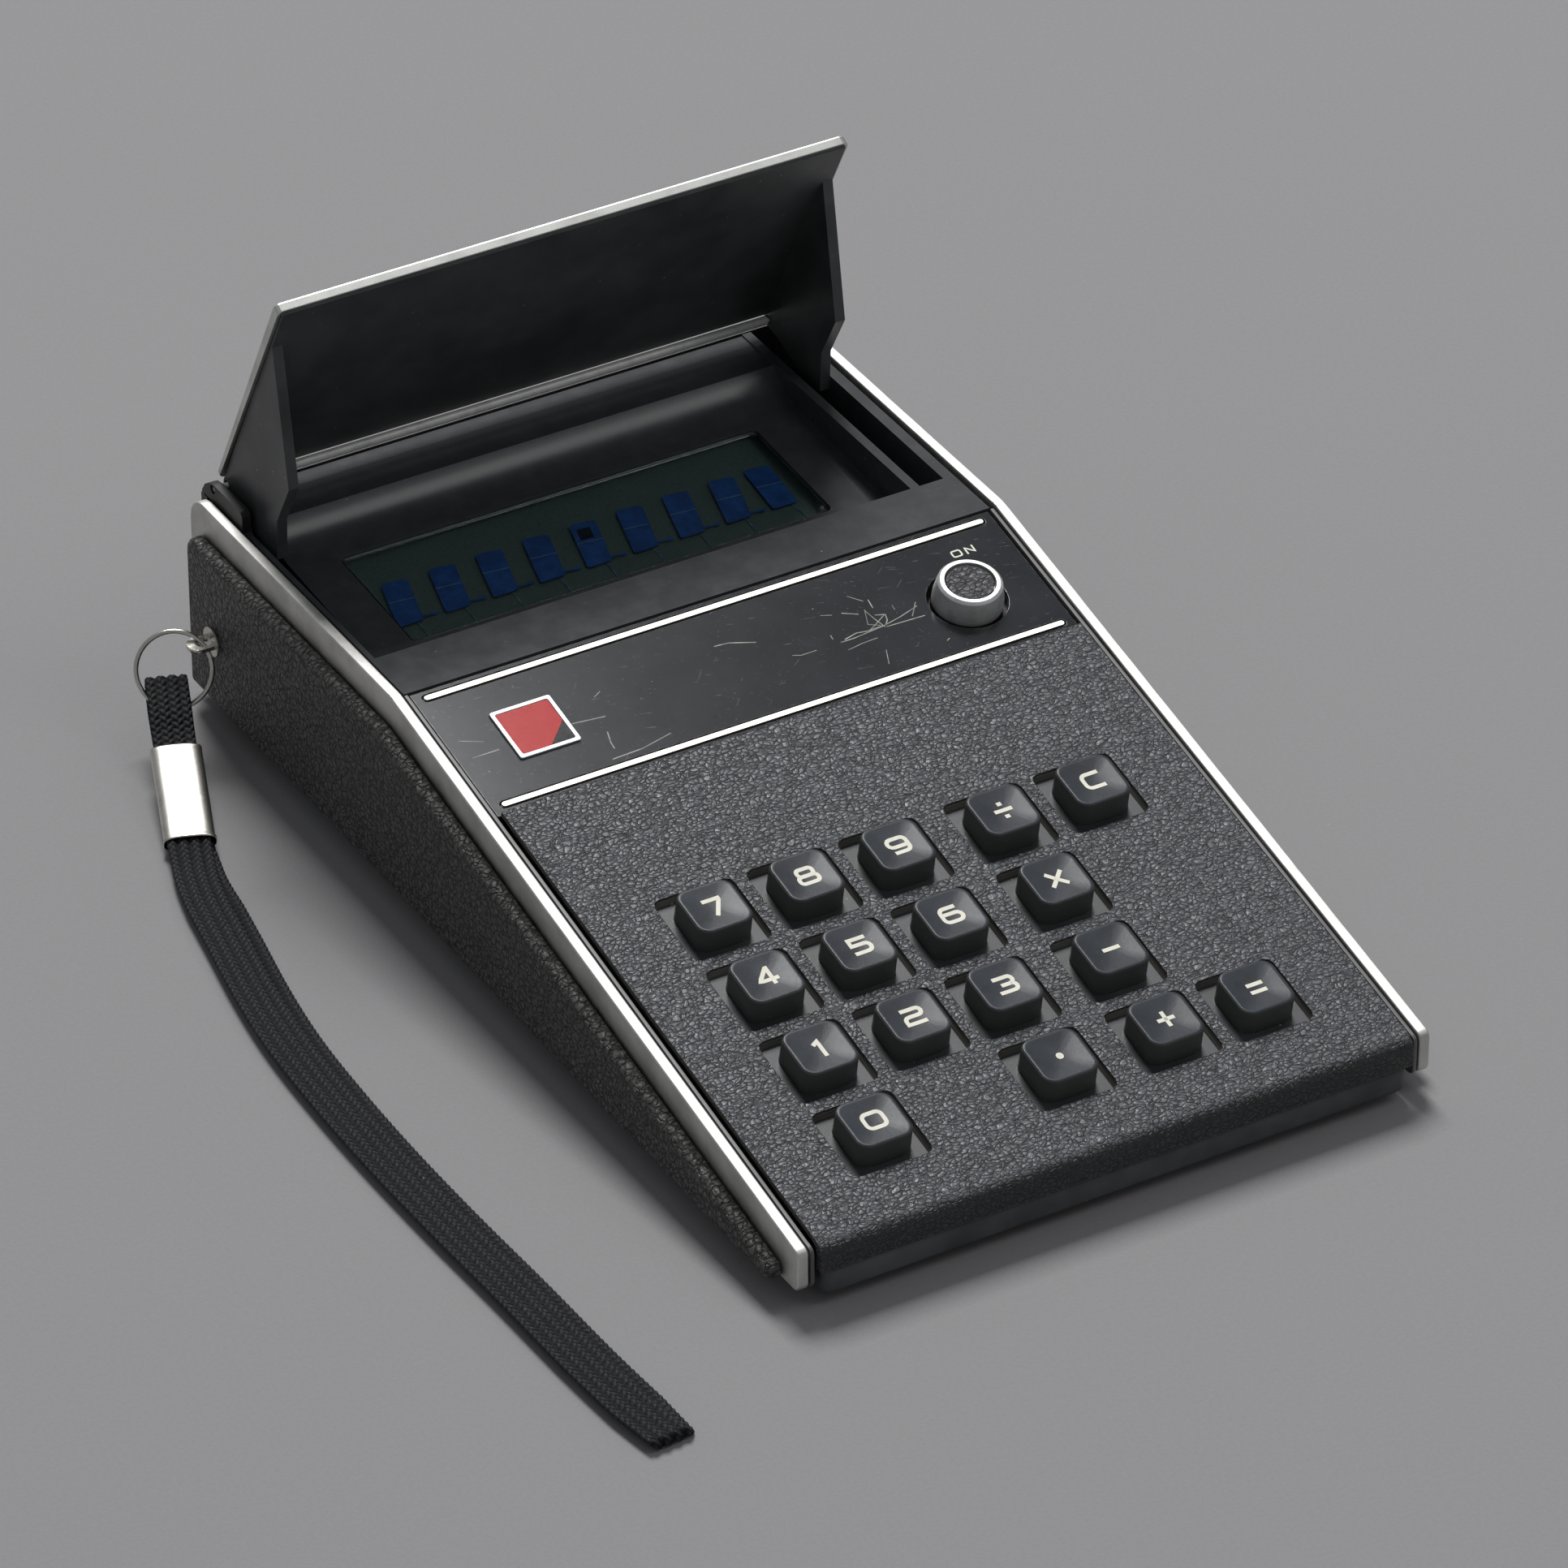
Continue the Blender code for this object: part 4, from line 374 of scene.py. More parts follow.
LEATHER = effect("leather grain", {"Place": None, "Cell": 0.9, "Wander": 1.6}, build_leather)
WEAR_AND_EDGE_HIGHLIGHT = effect("edge wear", {"Place": None, "Reach": 0.0004, "Patches": 0.8}, build_wear_and_edge_highlight)
HAIRLINE_INPUTS = {"Place": None, "Turn": 0.0, "Bend": 1.0, "Amount": 0.5}
SCRATCHES = effect("hairline scratches", HAIRLINE_INPUTS, build_scratches)
DUST = effect("dust specks", {"Place": None, "Density": 0.5, "Amount": 0.2, "Size": 0.1}, build_dust)
GRIME = effect("corner grime", {"Place": None, "Reach": 0.0015, "Patches": 0.9}, build_grime)
BLAST = effect("bead blast", {"Place": None, "Density": 5.0}, build_blast)


def covered(group, output):
    """Way to lay one shared effect over a colour, in a share of a shade."""

    def cover(tree, place, colour, share, shade, **values):
        return tinted(tree, colour, use(tree, group, place, **values)[output], share, shade)

    return cover


rubbed = covered(WEAR_AND_EDGE_HIGHLIGHT, "Wear")
scratched = covered(SCRATCHES, "Lines")
dusted = covered(DUST, "Specks")
dirtied = covered(GRIME, "Grime")


# Finishes


def start_finish(name, roughness=0.5, metallic=0.0, **plain):
    """New material with its shader and the place on the surface in millimetres."""
    material = bpy.data.materials.new(name)
    material.use_nodes = True
    tree = material.node_tree
    shader = tree.nodes["Principled BSDF"]
    shader.inputs["Roughness"].default_value = roughness
    shader.inputs["Metallic"].default_value = metallic
    for key, value in plain.items():
        shader.inputs[key.replace("_", " ")].default_value = value
    place = put(tree, "TexCoord").outputs["Object"]
    place = vectors(tree, "SCALE", place, Scale=1 / MM)
    return material, tree, shader, place


def feed(tree, shader, colour, roughness=None, height=None, depth=0.1):
    """Join the surface's changing values to its shader; depth is the height's full range in millimetres."""
    tree.links.new(colour, shader.inputs["Base Color"])
    if roughness is not None:
        tree.links.new(roughness, shader.inputs["Roughness"])
    if height is not None:
        bump = put(tree, "Bump", Height=height, Distance=depth * MM, Strength=1.0)
        tree.links.new(bump.outputs[0], shader.inputs["Normal"])


def leather_cover(name, cell, depth, dark, light, rough, wander=1.6, wall_light_and_shade=False):
    """Grained black plastic with painted highlight on the grain's crowns and painted shade in its creases,
    paler on rubbed edges; with walls set, the recess walls get painted light, and the rear-and-right-facing
    recess edges and the front face get painted shade.
    """
    material, tree, shader, place = start_finish(name, Specular_IOR_Level=0.35)
    grain = use(tree, LEATHER, place, Cell=cell, Wander=wander)
    clouds = noise(tree, place, 0.06, 3, 0.6)
    # Grain tones: painted highlight on the crowns, painted shade in the creases
    colour = mixed(tree, ramp(tree, grain["Pebble"], 0.25, 1.2), dark, light)
    if wall_light_and_shade:
        normal = put(tree, "NewGeometry").outputs["Normal"]
        upward = vectors(tree, "DOT_PRODUCT", normal, KEYPAD_UP, out=1)
        behind_front = ramp(tree, put(tree, "SeparateXYZ", Vector=place).outputs[1], *FRONT_ROLL_Y)
        # Painted light with a dust tint: the shaded recess walls are painted a pale beige
        painted_wall_light = maths(tree, "MULTIPLY", ramp(tree, upward, 0.8, 0.35), behind_front)
        colour = mixed(tree, painted_wall_light, colour, tone(92, 89, 82))
        # Painted shade: rounded recess edges that face rear and right are darkened to a thin dark line
        rounded = put(tree, "Bevel", {"samples": 4}, Radius=0.0008).outputs[0]
        from_front = vectors(tree, "DOT_PRODUCT", rounded, (0.5, 0.86, 0.0), out=1)
        painted_edge_shade = maths(tree, "MULTIPLY", ramp(tree, from_front, 0.04, 0.3), behind_front)
        colour = mixed(tree, painted_edge_shade, colour, tone(14, 14, 15))
        # Painted shade: the cover's forward-facing front face is darkened
        forward = vectors(tree, "DOT_PRODUCT", normal, (0.0, -1.0, 0.0), out=1)
        in_front = maths(tree, "SUBTRACT", 1.0, behind_front)
        painted_front_shade = maths(tree, "MULTIPLY", ramp(tree, forward, 0.45, 0.85), in_front)
        colour = tinted(tree, colour, painted_front_shade, 0.85, tone(48, 49, 49))
    colour = rubbed(tree, place, colour, 0.3, tone(124, 124, 126), Reach=0.0006, Patches=0.7)
    colour = dirtied(tree, place, colour, 0.7, tone(112, 100, 80), Reach=0.001, Patches=0.8)
    colour = dusted(tree, place, colour, 0.7, tone(150, 146, 138), Density=0.35, Amount=0.12, Size=0.06)
    rough_here = maths(tree, "MULTIPLY_ADD", grain["Crease"], 0.15, rough)
    rough_here = maths(tree, "MULTIPLY_ADD", clouds, 0.10, rough_here)
    feed(tree, shader, colour, rough_here, grain["Height"], depth)
    return material


def smooth_black(name, colour, roughness, texture=0.0, density=3.0, lint=0.12):
    """Moulded black plastic with a faint skin, hairlines, lint and dirt in its corners."""
    material, tree, shader, place = start_finish(name)
    skin = noise(tree, place, density, 3, 0.6)
    clouds = noise(tree, place, 0.09, 3, 0.6)
    lines = use(tree, SCRATCHES, place, Turn=0.6, Bend=1.5, Amount=0.42)
    paler = tuple(min(1.0, 1.7 * value + 0.012) for value in colour[:3]) + (1.0,)
    shade = mixed(tree, ramp(tree, clouds, 0.3, 0.75), colour, paler)
    shade = tinted(tree, shade, lines["Lines"], 0.16, tone(120, 120, 122))
    shade = rubbed(tree, place, shade, 0.25, tone(104, 104, 106), Reach=0.0004, Patches=0.9)
    shade = dirtied(tree, place, shade, 0.45, tone(104, 92, 74), Reach=0.0012, Patches=0.8)
    shade = dusted(tree, place, shade, 0.75, tone(158, 154, 146), Density=0.55, Amount=lint, Size=0.10)
    rough_here = maths(tree, "MULTIPLY_ADD", skin, 0.12, roughness)
    rough_here = maths(tree, "MULTIPLY_ADD", lines["Lines"], 0.12, rough_here)
    feed(tree, shader, shade, rough_here, skin, texture)
    return material


def satin_metal(name, colour, roughness, depth):
    """Bead-blasted aluminium with a soft painted highlight along its edges and dark specks."""
    material, tree, shader, place = start_finish(name, metallic=1.0)
    blast = use(tree, BLAST, place)
    edge_highlight = use(tree, WEAR_AND_EDGE_HIGHLIGHT, place, Reach=0.0004, Patches=0.6)
    lines = use(tree, SCRATCHES, place, Turn=1.5, Bend=0.6, Amount=0.35)
    dark = tuple(0.78 * value for value in colour[:3]) + (1.0,)
    shade = mixed(tree, ramp(tree, blast["Clouds"], 0.35, 0.7), colour, dark)
    shade = tinted(tree, shade, blast["Specks"], 0.22, tone(120, 116, 108))
    # Painted highlight along the edges
    shade = tinted(tree, shade, edge_highlight["Edge"], 0.5, tone(244, 244, 242))
    shade = dirtied(tree, place, shade, 0.6, tone(104, 92, 72), Reach=0.0012, Patches=0.5)
    rough_here = maths(tree, "MULTIPLY_ADD", blast["Pits"], 0.16, roughness)
    rough_here = maths(tree, "SUBTRACT", rough_here, maths(tree, "MULTIPLY", lines["Lines"], 0.08))
    feed(tree, shader, shade, rough_here, blast["Pits"], depth)
    return material


def bright_metal(name, colour, roughness, depth=0.004, dark_below=None, metallic=1.0):
    """Polished metal with hairlines, a few specks and a dull film; darker below a height over the keypad."""
    material, tree, shader, place = start_finish(name, metallic=metallic)
    lines = use(tree, SCRATCHES, place, Bend=0.8, Amount=0.6)
    film = noise(tree, place, 0.35, 4, 0.65)
    dull = tuple(0.72 * value for value in colour[:3]) + (1.0,)
    shade = mixed(tree, ramp(tree, film, 0.42, 0.75), colour, dull)
    shade = dusted(tree, place, shade, 0.6, tone(92, 84, 70), Density=0.9, Amount=0.10, Size=0.10)
    if dark_below is not None:
        from_bend = vectors(tree, "SUBTRACT", place, (0.0, BEND_Y, DECK_HEIGHT))
        level = vectors(tree, "DOT_PRODUCT", from_bend, KEYPAD_UP, out=1)
        shade = mixed(tree, ramp(tree, level, dark_below, dark_below - 0.5), shade, tone(46, 45, 43))
    rough_here = maths(tree, "MULTIPLY_ADD", film, 0.14, roughness)
    rough_here = maths(tree, "MULTIPLY_ADD", lines["Lines"], 0.12, rough_here)
    feed(tree, shader, shade, rough_here, lines["Lines"], depth)
    return material


def plate_finish():
    """Black satin plate with a worn field of hairlines."""
    material, tree, shader, place = start_finish("plate_black")
    skin = noise(tree, place, 7.0, 2, 0.6)
    clouds = noise(tree, place, 0.08, 3, 0.6)
    colour = mixed(tree, ramp(tree, clouds, 0.3, 0.75), tone(32, 34, 38), tone(44, 46, 50))
    for turn, amount, strength in ((0.25, 0.5, 0.5), (1.1, 0.4, 0.35), (-0.7, 0.45, 0.4), (2.3, 0.35, 0.3)):
        values = {"Turn": turn, "Bend": 2.5, "Amount": amount}
        colour = scratched(tree, place, colour, strength, tone(150, 152, 155), **values)
    colour = rubbed(tree, place, colour, 0.5, tone(150, 150, 150), Reach=0.0004, Patches=0.9)
    colour = dirtied(tree, place, colour, 0.7, tone(96, 88, 72), Reach=0.0014, Patches=0.7)
    colour = dusted(tree, place, colour, 0.8, tone(165, 162, 152), Density=0.5, Amount=0.16, Size=0.07)
    rough_here = maths(tree, "MULTIPLY_ADD", skin, 0.04, 0.10)
    feed(tree, shader, colour, rough_here, skin, 0.002)
    return material


def key_finish():
    """Key plastic: blue-black tops with polish marks, sides painted a lighter grey to offset their shade, and
    a painted highlight along the edges.
    """
    material, tree, shader, place = start_finish("key_black", Specular_IOR_Level=0.2)
    skin = noise(tree, place, 2.2, 3, 0.6)
    clouds = noise(tree, place, 0.22, 3, 0.6)
    edge_highlight = use(tree, WEAR_AND_EDGE_HIGHLIGHT, place, Reach=0.0003, Patches=0.9)
    normal = put(tree, "NewGeometry").outputs["Normal"]
    upward = vectors(tree, "DOT_PRODUCT", normal, KEYPAD_UP, out=1)
    top = ramp(tree, upward, 0.5, 0.97)
    colour = mixed(tree, ramp(tree, clouds, 0.3, 0.7), tone(52, 55, 60), tone(60, 64, 70))
    # Painted light: the key sides, which sit in shade, are painted lighter than the tops
    colour = mixed(tree, top, tone(78, 81, 78), colour)
    lines = use(tree, SCRATCHES, place, Turn=0.9, Bend=3.0, Amount=0.5)
    other = use(tree, SCRATCHES, place, Turn=-0.5, Bend=3.0, Amount=0.45)
    marks = maths(tree, "MULTIPLY", maths(tree, "MAXIMUM", lines["Lines"], other["Lines"]), 0.18)
    colour = mixed(tree, marks, colour, tone(130, 134, 138))
    # Painted highlight along the key edges
    colour = tinted(tree, colour, edge_highlight["Edge"], 0.35, tone(120, 124, 126))
    colour = dusted(tree, place, colour, 0.6, tone(160, 156, 146), Density=0.7, Amount=0.16, Size=0.08)
    rough_here = maths(tree, "MULTIPLY_ADD", skin, 0.08, 0.22)
    feed(tree, shader, colour, rough_here, skin, 0.006)
    return material


def legend_finish():
    """Cream print of the legends, a little worn."""
    material, tree, shader, place = start_finish("legend_cream", 0.55)
    worn = ramp(tree, noise(tree, place, 3.0, 4, 0.7), 0.60, 0.75)
    colour = mixed(tree, noise(tree, place, 0.8, 2), tone(250, 248, 232), tone(236, 232, 214))
    colour = tinted(tree, colour, worn, 0.25, tone(150, 148, 136))
    feed(tree, shader, colour, None, worn, 0.01)
    return material


def cove_finish():
    """Glossy black of the display well, with a faint painted highlight along its edges."""
    material, tree, shader, place = start_finish("well_black")
    film = noise(tree, place, 0.25, 4, 0.6)
    edge_highlight = use(tree, WEAR_AND_EDGE_HIGHLIGHT, place, Reach=0.0004, Patches=0.8)
    lines = use(tree, SCRATCHES, place, Turn=0.1, Bend=1.5, Amount=0.4)
    colour = mixed(tree, ramp(tree, film, 0.3, 0.8), tone(58, 60, 62), tone(68, 70, 72))
    colour = tinted(tree, colour, lines["Lines"], 0.10, tone(120, 120, 120))
    # Painted highlight along the edges
    colour = tinted(tree, colour, edge_highlight["Edge"], 0.2, tone(90, 92, 94))
    colour = dirtied(tree, place, colour, 0.16, tone(110, 98, 78), Reach=0.0012, Patches=0.8)
    colour = dusted(tree, place, colour, 0.8, tone(165, 160, 150), Density=0.6, Amount=0.18, Size=0.07)
    rough_here = maths(tree, "MULTIPLY_ADD", film, 0.06, 0.20)
    feed(tree, shader, colour, rough_here, lines["Lines"], 0.002)
    return material


def glass_finish():
    """Clear window over the digits; it lets the lamps' light through."""
    material, tree, shader, place = start_finish("window_glass", 0.03, Transmission_Weight=1.0, IOR=1.45)
    tint = mixed(tree, noise(tree, place, 0.2, 2), tone(214, 228, 226), tone(222, 232, 228))
    smear = ramp(tree, noise(tree, place, 0.3, 3, 0.6, 1.5), 0.45, 0.8, 0.02, 0.09)
    feed(tree, shader, tint, smear)
    clear = put(tree, "BsdfTransparent", Color=tone(235, 242, 240))
    shadow = put(tree, "LightPath").outputs["Is Shadow Ray"]
    mixing = tree.nodes.new("ShaderNodeMixShader")
    tree.links.new(shadow, mixing.inputs[0])
    tree.links.new(shader.outputs[0], mixing.inputs[1])
    tree.links.new(clear.outputs[0], mixing.inputs[2])
    tree.links.new(mixing.outputs[0], tree.nodes["Material Output"].inputs["Surface"])
    return material


def display_floor_finish():
    """Speckled grey-green floor under the digits."""
    material, tree, shader, place = start_finish("display_floor", 0.55)
    speckle = noise(tree, place, 5.0, 3, 0.8)
    clouds = noise(tree, place, 0.15, 2)
    colour = mixed(tree, ramp(tree, speckle, 0.35, 0.7), tone(66, 76, 78), tone(106, 118, 117))
    colour = tinted(tree, colour, clouds, 0.4, tone(84, 96, 96))
    colour = dusted(tree, place, colour, 0.8, tone(150, 150, 140), Density=0.8, Amount=0.14, Size=0.08)
    feed(tree, shader, colour, None, speckle, 0.02)
    return material


def digit_finish(name, dark, light, roughness):
    """Glossy printed film of a digit place."""
    material, tree, shader, place = start_finish(name)
    film = noise(tree, place, 0.5, 3, 0.6)
    grain = noise(tree, place, 6.0, 2)
    colour = mixed(tree, ramp(tree, film, 0.3, 0.75), dark, light)
    feed(tree, shader, colour, maths(tree, "MULTIPLY_ADD", grain, 0.2, roughness), grain, 0.01)
    return material


def braid_finish():
    """Black yarn: grey-blue highlights painted along each stitch's fibres, and painted shade between the
    stitches.
    """
    material, tree, shader, place = start_finish("braid_yarn", 0.5, Specular_IOR_Level=0.35)
    stitch = put(tree, "UVMap", {"uv_map": "stitch"}).outputs[0]
    split = put(tree, "SeparateXYZ", Vector=stitch)
    rise = put(tree, "Attribute", {"attribute_name": "rise"}).outputs["Fac"]
    joined = put(
        tree, "CombineXYZ", X=maths(tree, "MULTIPLY", split.outputs[0], 1.1), Y=split.outputs[1], Z=rise
    ).outputs[0]
    fibres = noise(tree, vectors(tree, "MULTIPLY", joined, (1.0, 13.0, 1.0)), 1.0, 3, 0.65)
    fuzz = noise(tree, place, 8.0, 3, 0.7)
    # Painted highlight: fibre streaks lifted to grey-blue
    colour = mixed(tree, ramp(tree, fibres, 0.35, 0.68), tone(9, 10, 11), tone(46, 50, 57))
    # Painted shade where each stitch sinks
    colour = mixed(tree, ramp(tree, rise, 0.85, 0.25), colour, tone(6, 6, 7))
    colour = dusted(tree, place, colour, 0.7, tone(150, 146, 136), Density=0.45, Amount=0.10, Size=0.06)
    height = maths(tree, "MULTIPLY_ADD", fibres, 1.0, maths(tree, "MULTIPLY", fuzz, 0.35))
    rough_here = maths(tree, "MULTIPLY_ADD", fuzz, 0.2, 0.42)
    feed(tree, shader, colour, rough_here, height, 0.09)
    return material


def rubber_finish():
    """Dull dusty rubber of the feet and the contact mat."""
    material, tree, shader, place = start_finish("foot_rubber")
    grain = noise(tree, place, 2.5, 4, 0.7)
    colour = mixed(tree, ramp(tree, grain, 0.3, 0.7), tone(24, 24, 24), tone(42, 41, 40))
    colour = dusted(tree, place, colour, 0.6, tone(140, 136, 128), Density=0.8, Amount=0.25, Size=0.1)
    feed(tree, shader, colour, maths(tree, "MULTIPLY_ADD", grain, 0.2, 0.62), grain, 0.03)
    return material


def board_finish():
    """Green laminate with paler tracks."""
    material, tree, shader, place = start_finish("board_green", 0.45)
    weave = maths(
        tree,
        "MULTIPLY",
        put(tree, "TexWave", {"bands_direction": "X"}, Vector=place, Scale=1.2).outputs[0],
        put(tree, "TexWave", {"bands_direction": "Y"}, Vector=place, Scale=1.2).outputs[0],
    )
    tracks = put(tree, "TexBrick", Vector=place, Scale=0.35, Mortar_Size=0.03).outputs[1]
    colour = mixed(tree, weave, tone(34, 72, 44), tone(48, 92, 56))
    colour = tinted(tree, colour, tracks, 0.6, tone(92, 124, 74))
    feed(tree, shader, colour, None, maths(tree, "ADD", weave, tracks), 0.02)
    return material


def sleeve_finish():
    """Plain grey sleeve of the cells."""
    material, tree, shader, place = start_finish("cell_sleeve", 0.35)
    seam = noise(tree, place, 0.6, 3)
    colour = mixed(tree, ramp(tree, seam, 0.35, 0.7), tone(120, 122, 126), tone(150, 152, 156))
    colour = scratched(tree, place, colour, 0.4, tone(90, 90, 92), Turn=0.2, Bend=1.0, Amount=0.4)
    feed(tree, shader, colour, maths(tree, "MULTIPLY_ADD", seam, 0.2, 0.25), seam, 0.01)
    return material


def enamel_finish(name, dark, light):
    """Glossy enamel of the badge field."""
    material, tree, shader, place = start_finish(name, Specular_IOR_Level=0.3)
    mottle = noise(tree, place, 0.9, 3, 0.6)
    colour = mixed(tree, mottle, dark, light)
    colour = dusted(tree, place, colour, 0.7, tone(180, 176, 168), Density=0.9, Amount=0.12, Size=0.07)
    feed(tree, shader, colour, maths(tree, "MULTIPLY_ADD", mottle, 0.05, 0.12), mottle, 0.004)
    return material


def floor_finish():
    """Plain pale paper under the object."""
    material, tree, shader, place = start_finish("studio_paper", 0.85, Specular_IOR_Level=0.2)
    grain = noise(tree, place, 1.6, 4, 0.7)
    colour = mixed(tree, ramp(tree, grain, 0.3, 0.7), tone(148, 147, 148), tone(152, 151, 152))
    colour = dusted(tree, place, colour, 0.3, tone(190, 180, 160), Density=0.12, Amount=0.10, Size=0.03)
    feed(tree, shader, colour, None, grain, 0.03)
    return material


# Leather tones: painted shade in the grain's creases and painted highlight on its crowns
COVER_CREASE_SHADE, COVER_CROWN_HIGHLIGHT = tone(60, 61, 64), tone(104, 105, 109)
KEY_LEATHER = leather_cover("cover_leather", 0.66, 0.16, COVER_CREASE_SHADE, COVER_CROWN_HIGHLIGHT, 0.25, wall_light_and_shade=True)
SIDE_LEATHER = leather_cover("side_leather", 1.0, 0.3, tone(44, 44, 43), tone(98, 98, 94), 0.26)
INSERT_LEATHER = leather_cover("insert_leather", 0.8, 0.16, tone(52, 52, 54), tone(90, 90, 92), 0.3)
FRAME_PLASTIC = smooth_black("recess_plastic", tone(40, 41, 44), 0.36, 0.01, 5.0, 0.22)
CASE_PLASTIC = smooth_black("case_plastic", tone(62, 64, 64), 0.46, 0.02, 4.0)
REAR_PLASTIC = smooth_black("rear_plastic", tone(36, 36, 37), 0.4, 0.02, 3.0)
LINER_PLASTIC = smooth_black("liner_plastic", tone(84, 84, 84), 0.32, 0.005, 4.0)
LID_PLASTIC = smooth_black("lid_plastic", tone(54, 56, 56), 0.28, 0.008, 3.0, 0.36)
RAIL_METAL = satin_metal("rail_aluminium", tone(224, 223, 219), 0.46, 0.014)
LID_METAL = satin_metal("lid_aluminium", tone(222, 223, 218), 0.32, 0.008)
CUP_METAL = bright_metal("cup_aluminium", tone(222, 223, 222), 0.42, dark_below=-0.9, metallic=0.7)
BADGE_METAL = bright_metal("badge_chrome", tone(214, 215, 214), 0.30)
STRIPE_METAL = bright_metal("stripe_metal", tone(232, 228, 216), 0.36)
CLAMP_METAL = bright_metal("clamp_nickel", tone(226, 223, 214), 0.24)
RING_METAL = bright_metal("ring_nickel", tone(214, 211, 202), 0.18, depth=0.001)
ROD_METAL = bright_metal("rod_steel", tone(240, 239, 234), 0.36, metallic=0.2)
PLATE_BLACK = plate_finish()
KEY_BLACK = key_finish()
LEGEND_CREAM = legend_finish()
WELL_BLACK = cove_finish()
WINDOW_GLASS = glass_finish()
DISPLAY_FLOOR = display_floor_finish()
DIGIT_NAVY = digit_finish("digit_navy", tone(34, 70, 138), tone(48, 94, 172), 0.25)
DIGIT_LINE = digit_finish("digit_line", tone(92, 122, 156), tone(120, 146, 174), 0.3)
DIGIT_DARK = digit_finish("digit_dark", tone(10, 16, 30), tone(16, 24, 40), 0.3)
LEAD_METAL = digit_finish("lead_metal", tone(50, 74, 104), tone(120, 146, 168), 0.3)
BRAID = braid_finish()
RUBBER = rubber_finish()
RECESS_EDGE = smooth_black("recess_edge", tone(76, 74, 70), 0.5, 0.02, 5.0, 0.3)
BOARD_GREEN = board_finish()
CELL_SLEEVE = sleeve_finish()
ENAMEL_RED = enamel_finish("enamel_red", tone(182, 34, 36), tone(204, 46, 46))
ENAMEL_DARK = enamel_finish("enamel_dark", tone(20, 22, 26), tone(30, 32, 38))
SCRATCH_PALE = digit_finish("scratch_pale", tone(120, 118, 112), tone(196, 192, 182), 0.4)
PAPER = floor_finish()

CAD_FINISHES = {
    KEY_LEATHER: ("key_cover",),
    SIDE_LEATHER: ("side_cover_left", "side_cover_right"),
    INSERT_LEATHER: ("button_insert",),
    FRAME_PLASTIC: ("key_frame",),
    CASE_PLASTIC: ("bottom_case", "battery_door"),
    REAR_PLASTIC: ("rear_cover", "button_switch", "logic_chip"),
    LINER_PLASTIC: ("chassis_left", "chassis_right"),
    LID_PLASTIC: ("lid_body",),
    RAIL_METAL: ("side_rail_left", "side_rail_right"),
    LID_METAL: ("lid_plate",),
    CUP_METAL: ("button_cup",),
    STRIPE_METAL: ("plate_stripe_front", "plate_stripe_rear"),
    RING_METAL: ("strap_ring", "strap_eyelet"),
    CLAMP_METAL: ("strap_clamp",),
    ROD_METAL: ("lid_rod", "case_screw", "button_spring", "battery_contacts_front", "battery_contacts_rear"),
    PLATE_BLACK: ("name_plate",),
    WELL_BLACK: ("display_bezel",),
    WINDOW_GLASS: ("display_window",),
    DISPLAY_FLOOR: ("display_panel",),
    BRAID: ("strap_bight", "wrist_strap"),
    RUBBER: ("foot_front", "foot_rear_left", "foot_rear_right", "contact_mat"),
    BOARD_GREEN: ("main_board", "keyboard_board"),
    CELL_SLEEVE: ("battery_cell_1", "battery_cell_2", "battery_cell_3", "battery_cell_4"),
    KEY_BLACK: tuple(name for row in KEY_ROWS for name in row if name),
}

# How far each model piece's sharp edges are rounded, in millimetres
EDGE_ROUNDING = {
    "key_cover": 0.55,
    "key_frame": 0.15,
    "side_rail_left": 0.0,
    "side_rail_right": 0.0,
    "side_cover_left": 0.6,
    "side_cover_right": 0.6,
    "bottom_case": 0.3,
    "battery_door": 0.2,
    "rear_cover": 0.35,
    "chassis_left": 0.1,
    "chassis_right": 0.1,
    "display_bezel": 0.3,
    "display_window": 0.12,
    "lid_plate": 0.2,
    "lid_body": 0.3,
    "lid_rod": 0.0,
    "button_cup": 0.06,
    "button_insert": 0.08,
    "name_plate": 0.12,
    "plate_stripe_front": 0.04,
    "plate_stripe_rear": 0.04,
    "strap_eyelet": 0.08,
    "foot_front": 0.3,
    "foot_rear_left": 0.3,
    "foot_rear_right": 0.3,
    "case_screw": 0.1,
    "button_switch": 0.2,
    "logic_chip": 0.2,
}
PLAIN_ROUNDING = 0.1
WELD_REACH = 0.002
ROUND_ANGLE = radians(28)
FLAT_ANGLE = radians(0.6)


def dress_model():
    """Give each model piece its finish, smooth its round faces and round its sharp edges."""
    for finish, names in CAD_FINISHES.items():
        for name in names:
            NODES[name].material_slots[0].material = finish
    for name, node in NODES.items():
        mesh = node.data
        for title in ("custom_normal", "sharp_face", "sharp_edge"):
            if title in mesh.attributes:
                mesh.attributes.remove(mesh.attributes[title])
        mesh.polygons.foreach_set("use_smooth", [True] * len(mesh.polygons))
        weld = node.modifiers.new("weld", "WELD")
        weld.merge_threshold = WELD_REACH * MM
        width = EDGE_ROUNDING.get(name, PLAIN_ROUNDING)
        dissolve = node.modifiers.new("flat faces", "DECIMATE")
        dissolve.decimate_type = "DISSOLVE"
        dissolve.angle_limit = FLAT_ANGLE
        if width:
            edge = node.modifiers.new("round edges", "BEVEL")
            edge.width = width * MM
            edge.segments = 3
            edge.limit_method = "ANGLE"
            edge.angle_limit = ROUND_ANGLE
            edge.use_clamp_overlap = True
        node.modifiers.new("even shading", "WEIGHTED_NORMAL")


# Meshes


